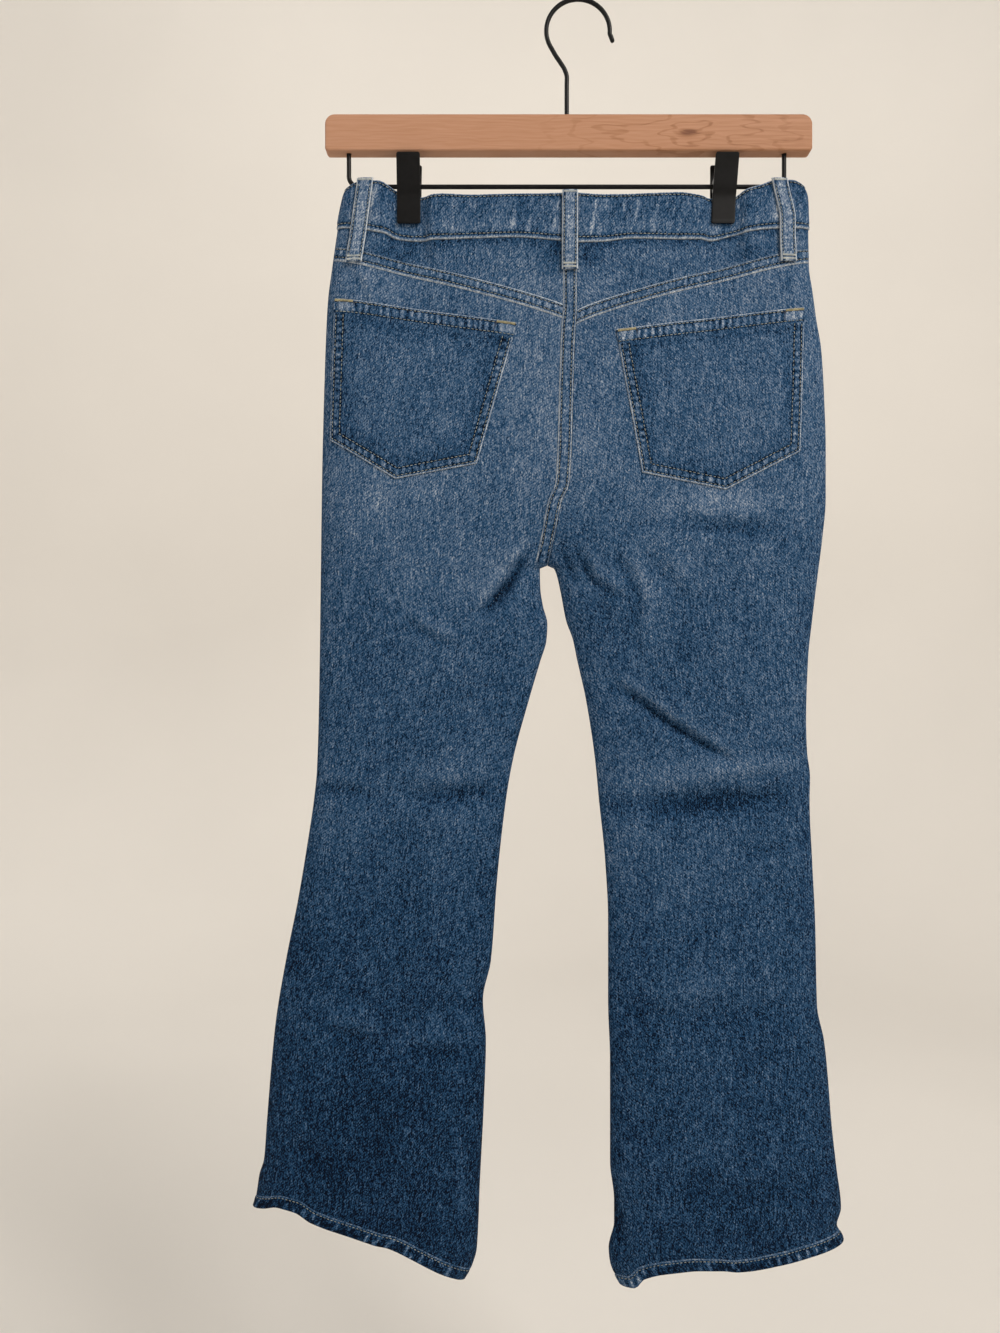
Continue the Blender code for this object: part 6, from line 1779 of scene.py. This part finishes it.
def make_room():
    """One pale bowl: a floor that curves up into the wall all round."""
    flat = ROOM_RADIUS - ROOM_BEND
    profile = [(flat, ROOM_FLOOR)]
    profile += [(flat + ROOM_BEND * math.sin(a), ROOM_FLOOR + ROOM_BEND * (1 - math.cos(a)))
                for a in np.linspace(0.1, math.pi / 2, 12)]
    profile += [(ROOM_RADIUS, ROOM_TOP)]
    steps = 72
    points = [(0.0, 0.0, ROOM_FLOOR)]
    for r, z in profile:
        points += [(r * math.cos(2 * math.pi * k / steps), r * math.sin(2 * math.pi * k / steps), z)
                   for k in range(steps)]
    faces = [(0, 1 + k, 1 + (k + 1) % steps) for k in range(steps)]
    for i in range(len(profile) - 1):
        a, b = 1 + i * steps, 1 + (i + 1) * steps
        faces += [(a + k, b + k, b + (k + 1) % steps, a + (k + 1) % steps) for k in range(steps)]
    mesh = bpy.data.meshes.new("room")
    mesh.from_pydata(points, [], faces)
    mesh.polygons.foreach_set("use_smooth", np.ones(len(mesh.polygons), bool))
    room = place_piece("room", mesh, PLASTER)
    world = bpy.data.worlds.new("soft_daylight")
    world.use_nodes = True
    world.node_tree.nodes.clear()
    sky = add(world.node_tree, "ShaderNodeBackground", {"Color": linear("#eef1f4"), "Strength": WORLD_LIGHT})
    add(world.node_tree, "ShaderNodeOutputWorld", {"Surface": sky.outputs[0]})
    bpy.context.scene.world = world


def add_lamp(name, place, target, size, power, colour):
    """A square soft light, its front turned to the target, in metres and watts."""
    light = bpy.data.lights.new(name, "AREA")
    light.shape = "SQUARE"
    light.size = size
    light.energy = power
    light.color = linear(colour)[:3]
    lamp = bpy.data.objects.new(name, light)
    lamp.location = place
    lamp.rotation_euler = (Vector(target) - Vector(place)).to_track_quat("-Z", "Y").to_euler()
    bpy.context.scene.collection.objects.link(lamp)


def make_camera():
    """Level, looking square at the seat side."""
    view = bpy.data.cameras.new("camera")
    view.lens = CAMERA_LENS
    view.sensor_width = CAMERA_SENSOR
    view.sensor_height = CAMERA_SENSOR
    view.clip_start = 0.05
    camera = bpy.data.objects.new("camera", view)
    camera.location = CAMERA_PLACE
    camera.rotation_euler = (math.pi / 2, 0, 0)
    bpy.context.scene.collection.objects.link(camera)
    bpy.context.scene.camera = camera


DENIM = denim_material()
THREAD = thread_material("grey_tan_thread", "#6c7270", "#9fa39d")
TACK_THREAD = thread_material("yellow_tan_thread", "#837a58", "#aca17b")
DARK_THREAD = thread_material("navy_thread", "#141c2b", "#27344a")
PALE_THREAD = thread_material("pale_grey_thread", "#98a0a3", "#c3c5bd")
ZIP_TAPE_CLOTH = tape_material()
ZIP_METAL = metal_material("brass_zip_teeth", "#7d6a45", "#b39a68", 0.4, 0.9)
BRASS_METAL = metal_material("aged_brass", "#6d5a3a", "#a68c5c", 0.38, 0.95)
STEEL_WIRE = metal_material("spring_steel", "#6d6e70", "#9a9b9c", 0.35, 0.95)
WIRE_BLACK = metal_material("black_enamelled_wire", "#050506", "#0d0d0e", 0.4, 0.0, gloss=0.2)
SHEET_BLACK = metal_material("black_enamelled_sheet", "#050506", "#0e0e0f", 0.46, 0.0, gloss=0.16)
WOOD = wood_material()
PLASTER = wall_material()
STITCH_TREE = stitch_tree()

make_panels()
make_hems()
make_seams()
make_pockets()
make_belt_loops()
make_waistband()
make_fly()
lay_stitches()
make_bar()
make_hook()
make_rod()
make_clips()
make_metal()

make_room()
add_lamp("window", (1.75, -2.20, 1.70), (0.0, 0.0, -0.45), 1.3, 90.0, "#fffaf4")
add_lamp("fill", (-2.0, -1.6, 0.3), (0.0, 0.0, -0.4), 1.8, 9.0, "#eef3fa")
add_lamp("wall_wash", (0.0, 1.2, 1.9), (0.0, 3.2, 0.9), 1.6, 18.0, "#fff8ef")
add_lamp("behind", (-1.4, 2.0, 0.8), (0.0, 0.0, -0.5), 1.6, 12.0, "#f6f4f0")
make_camera()
bpy.context.scene.view_settings.view_transform = "Standard"
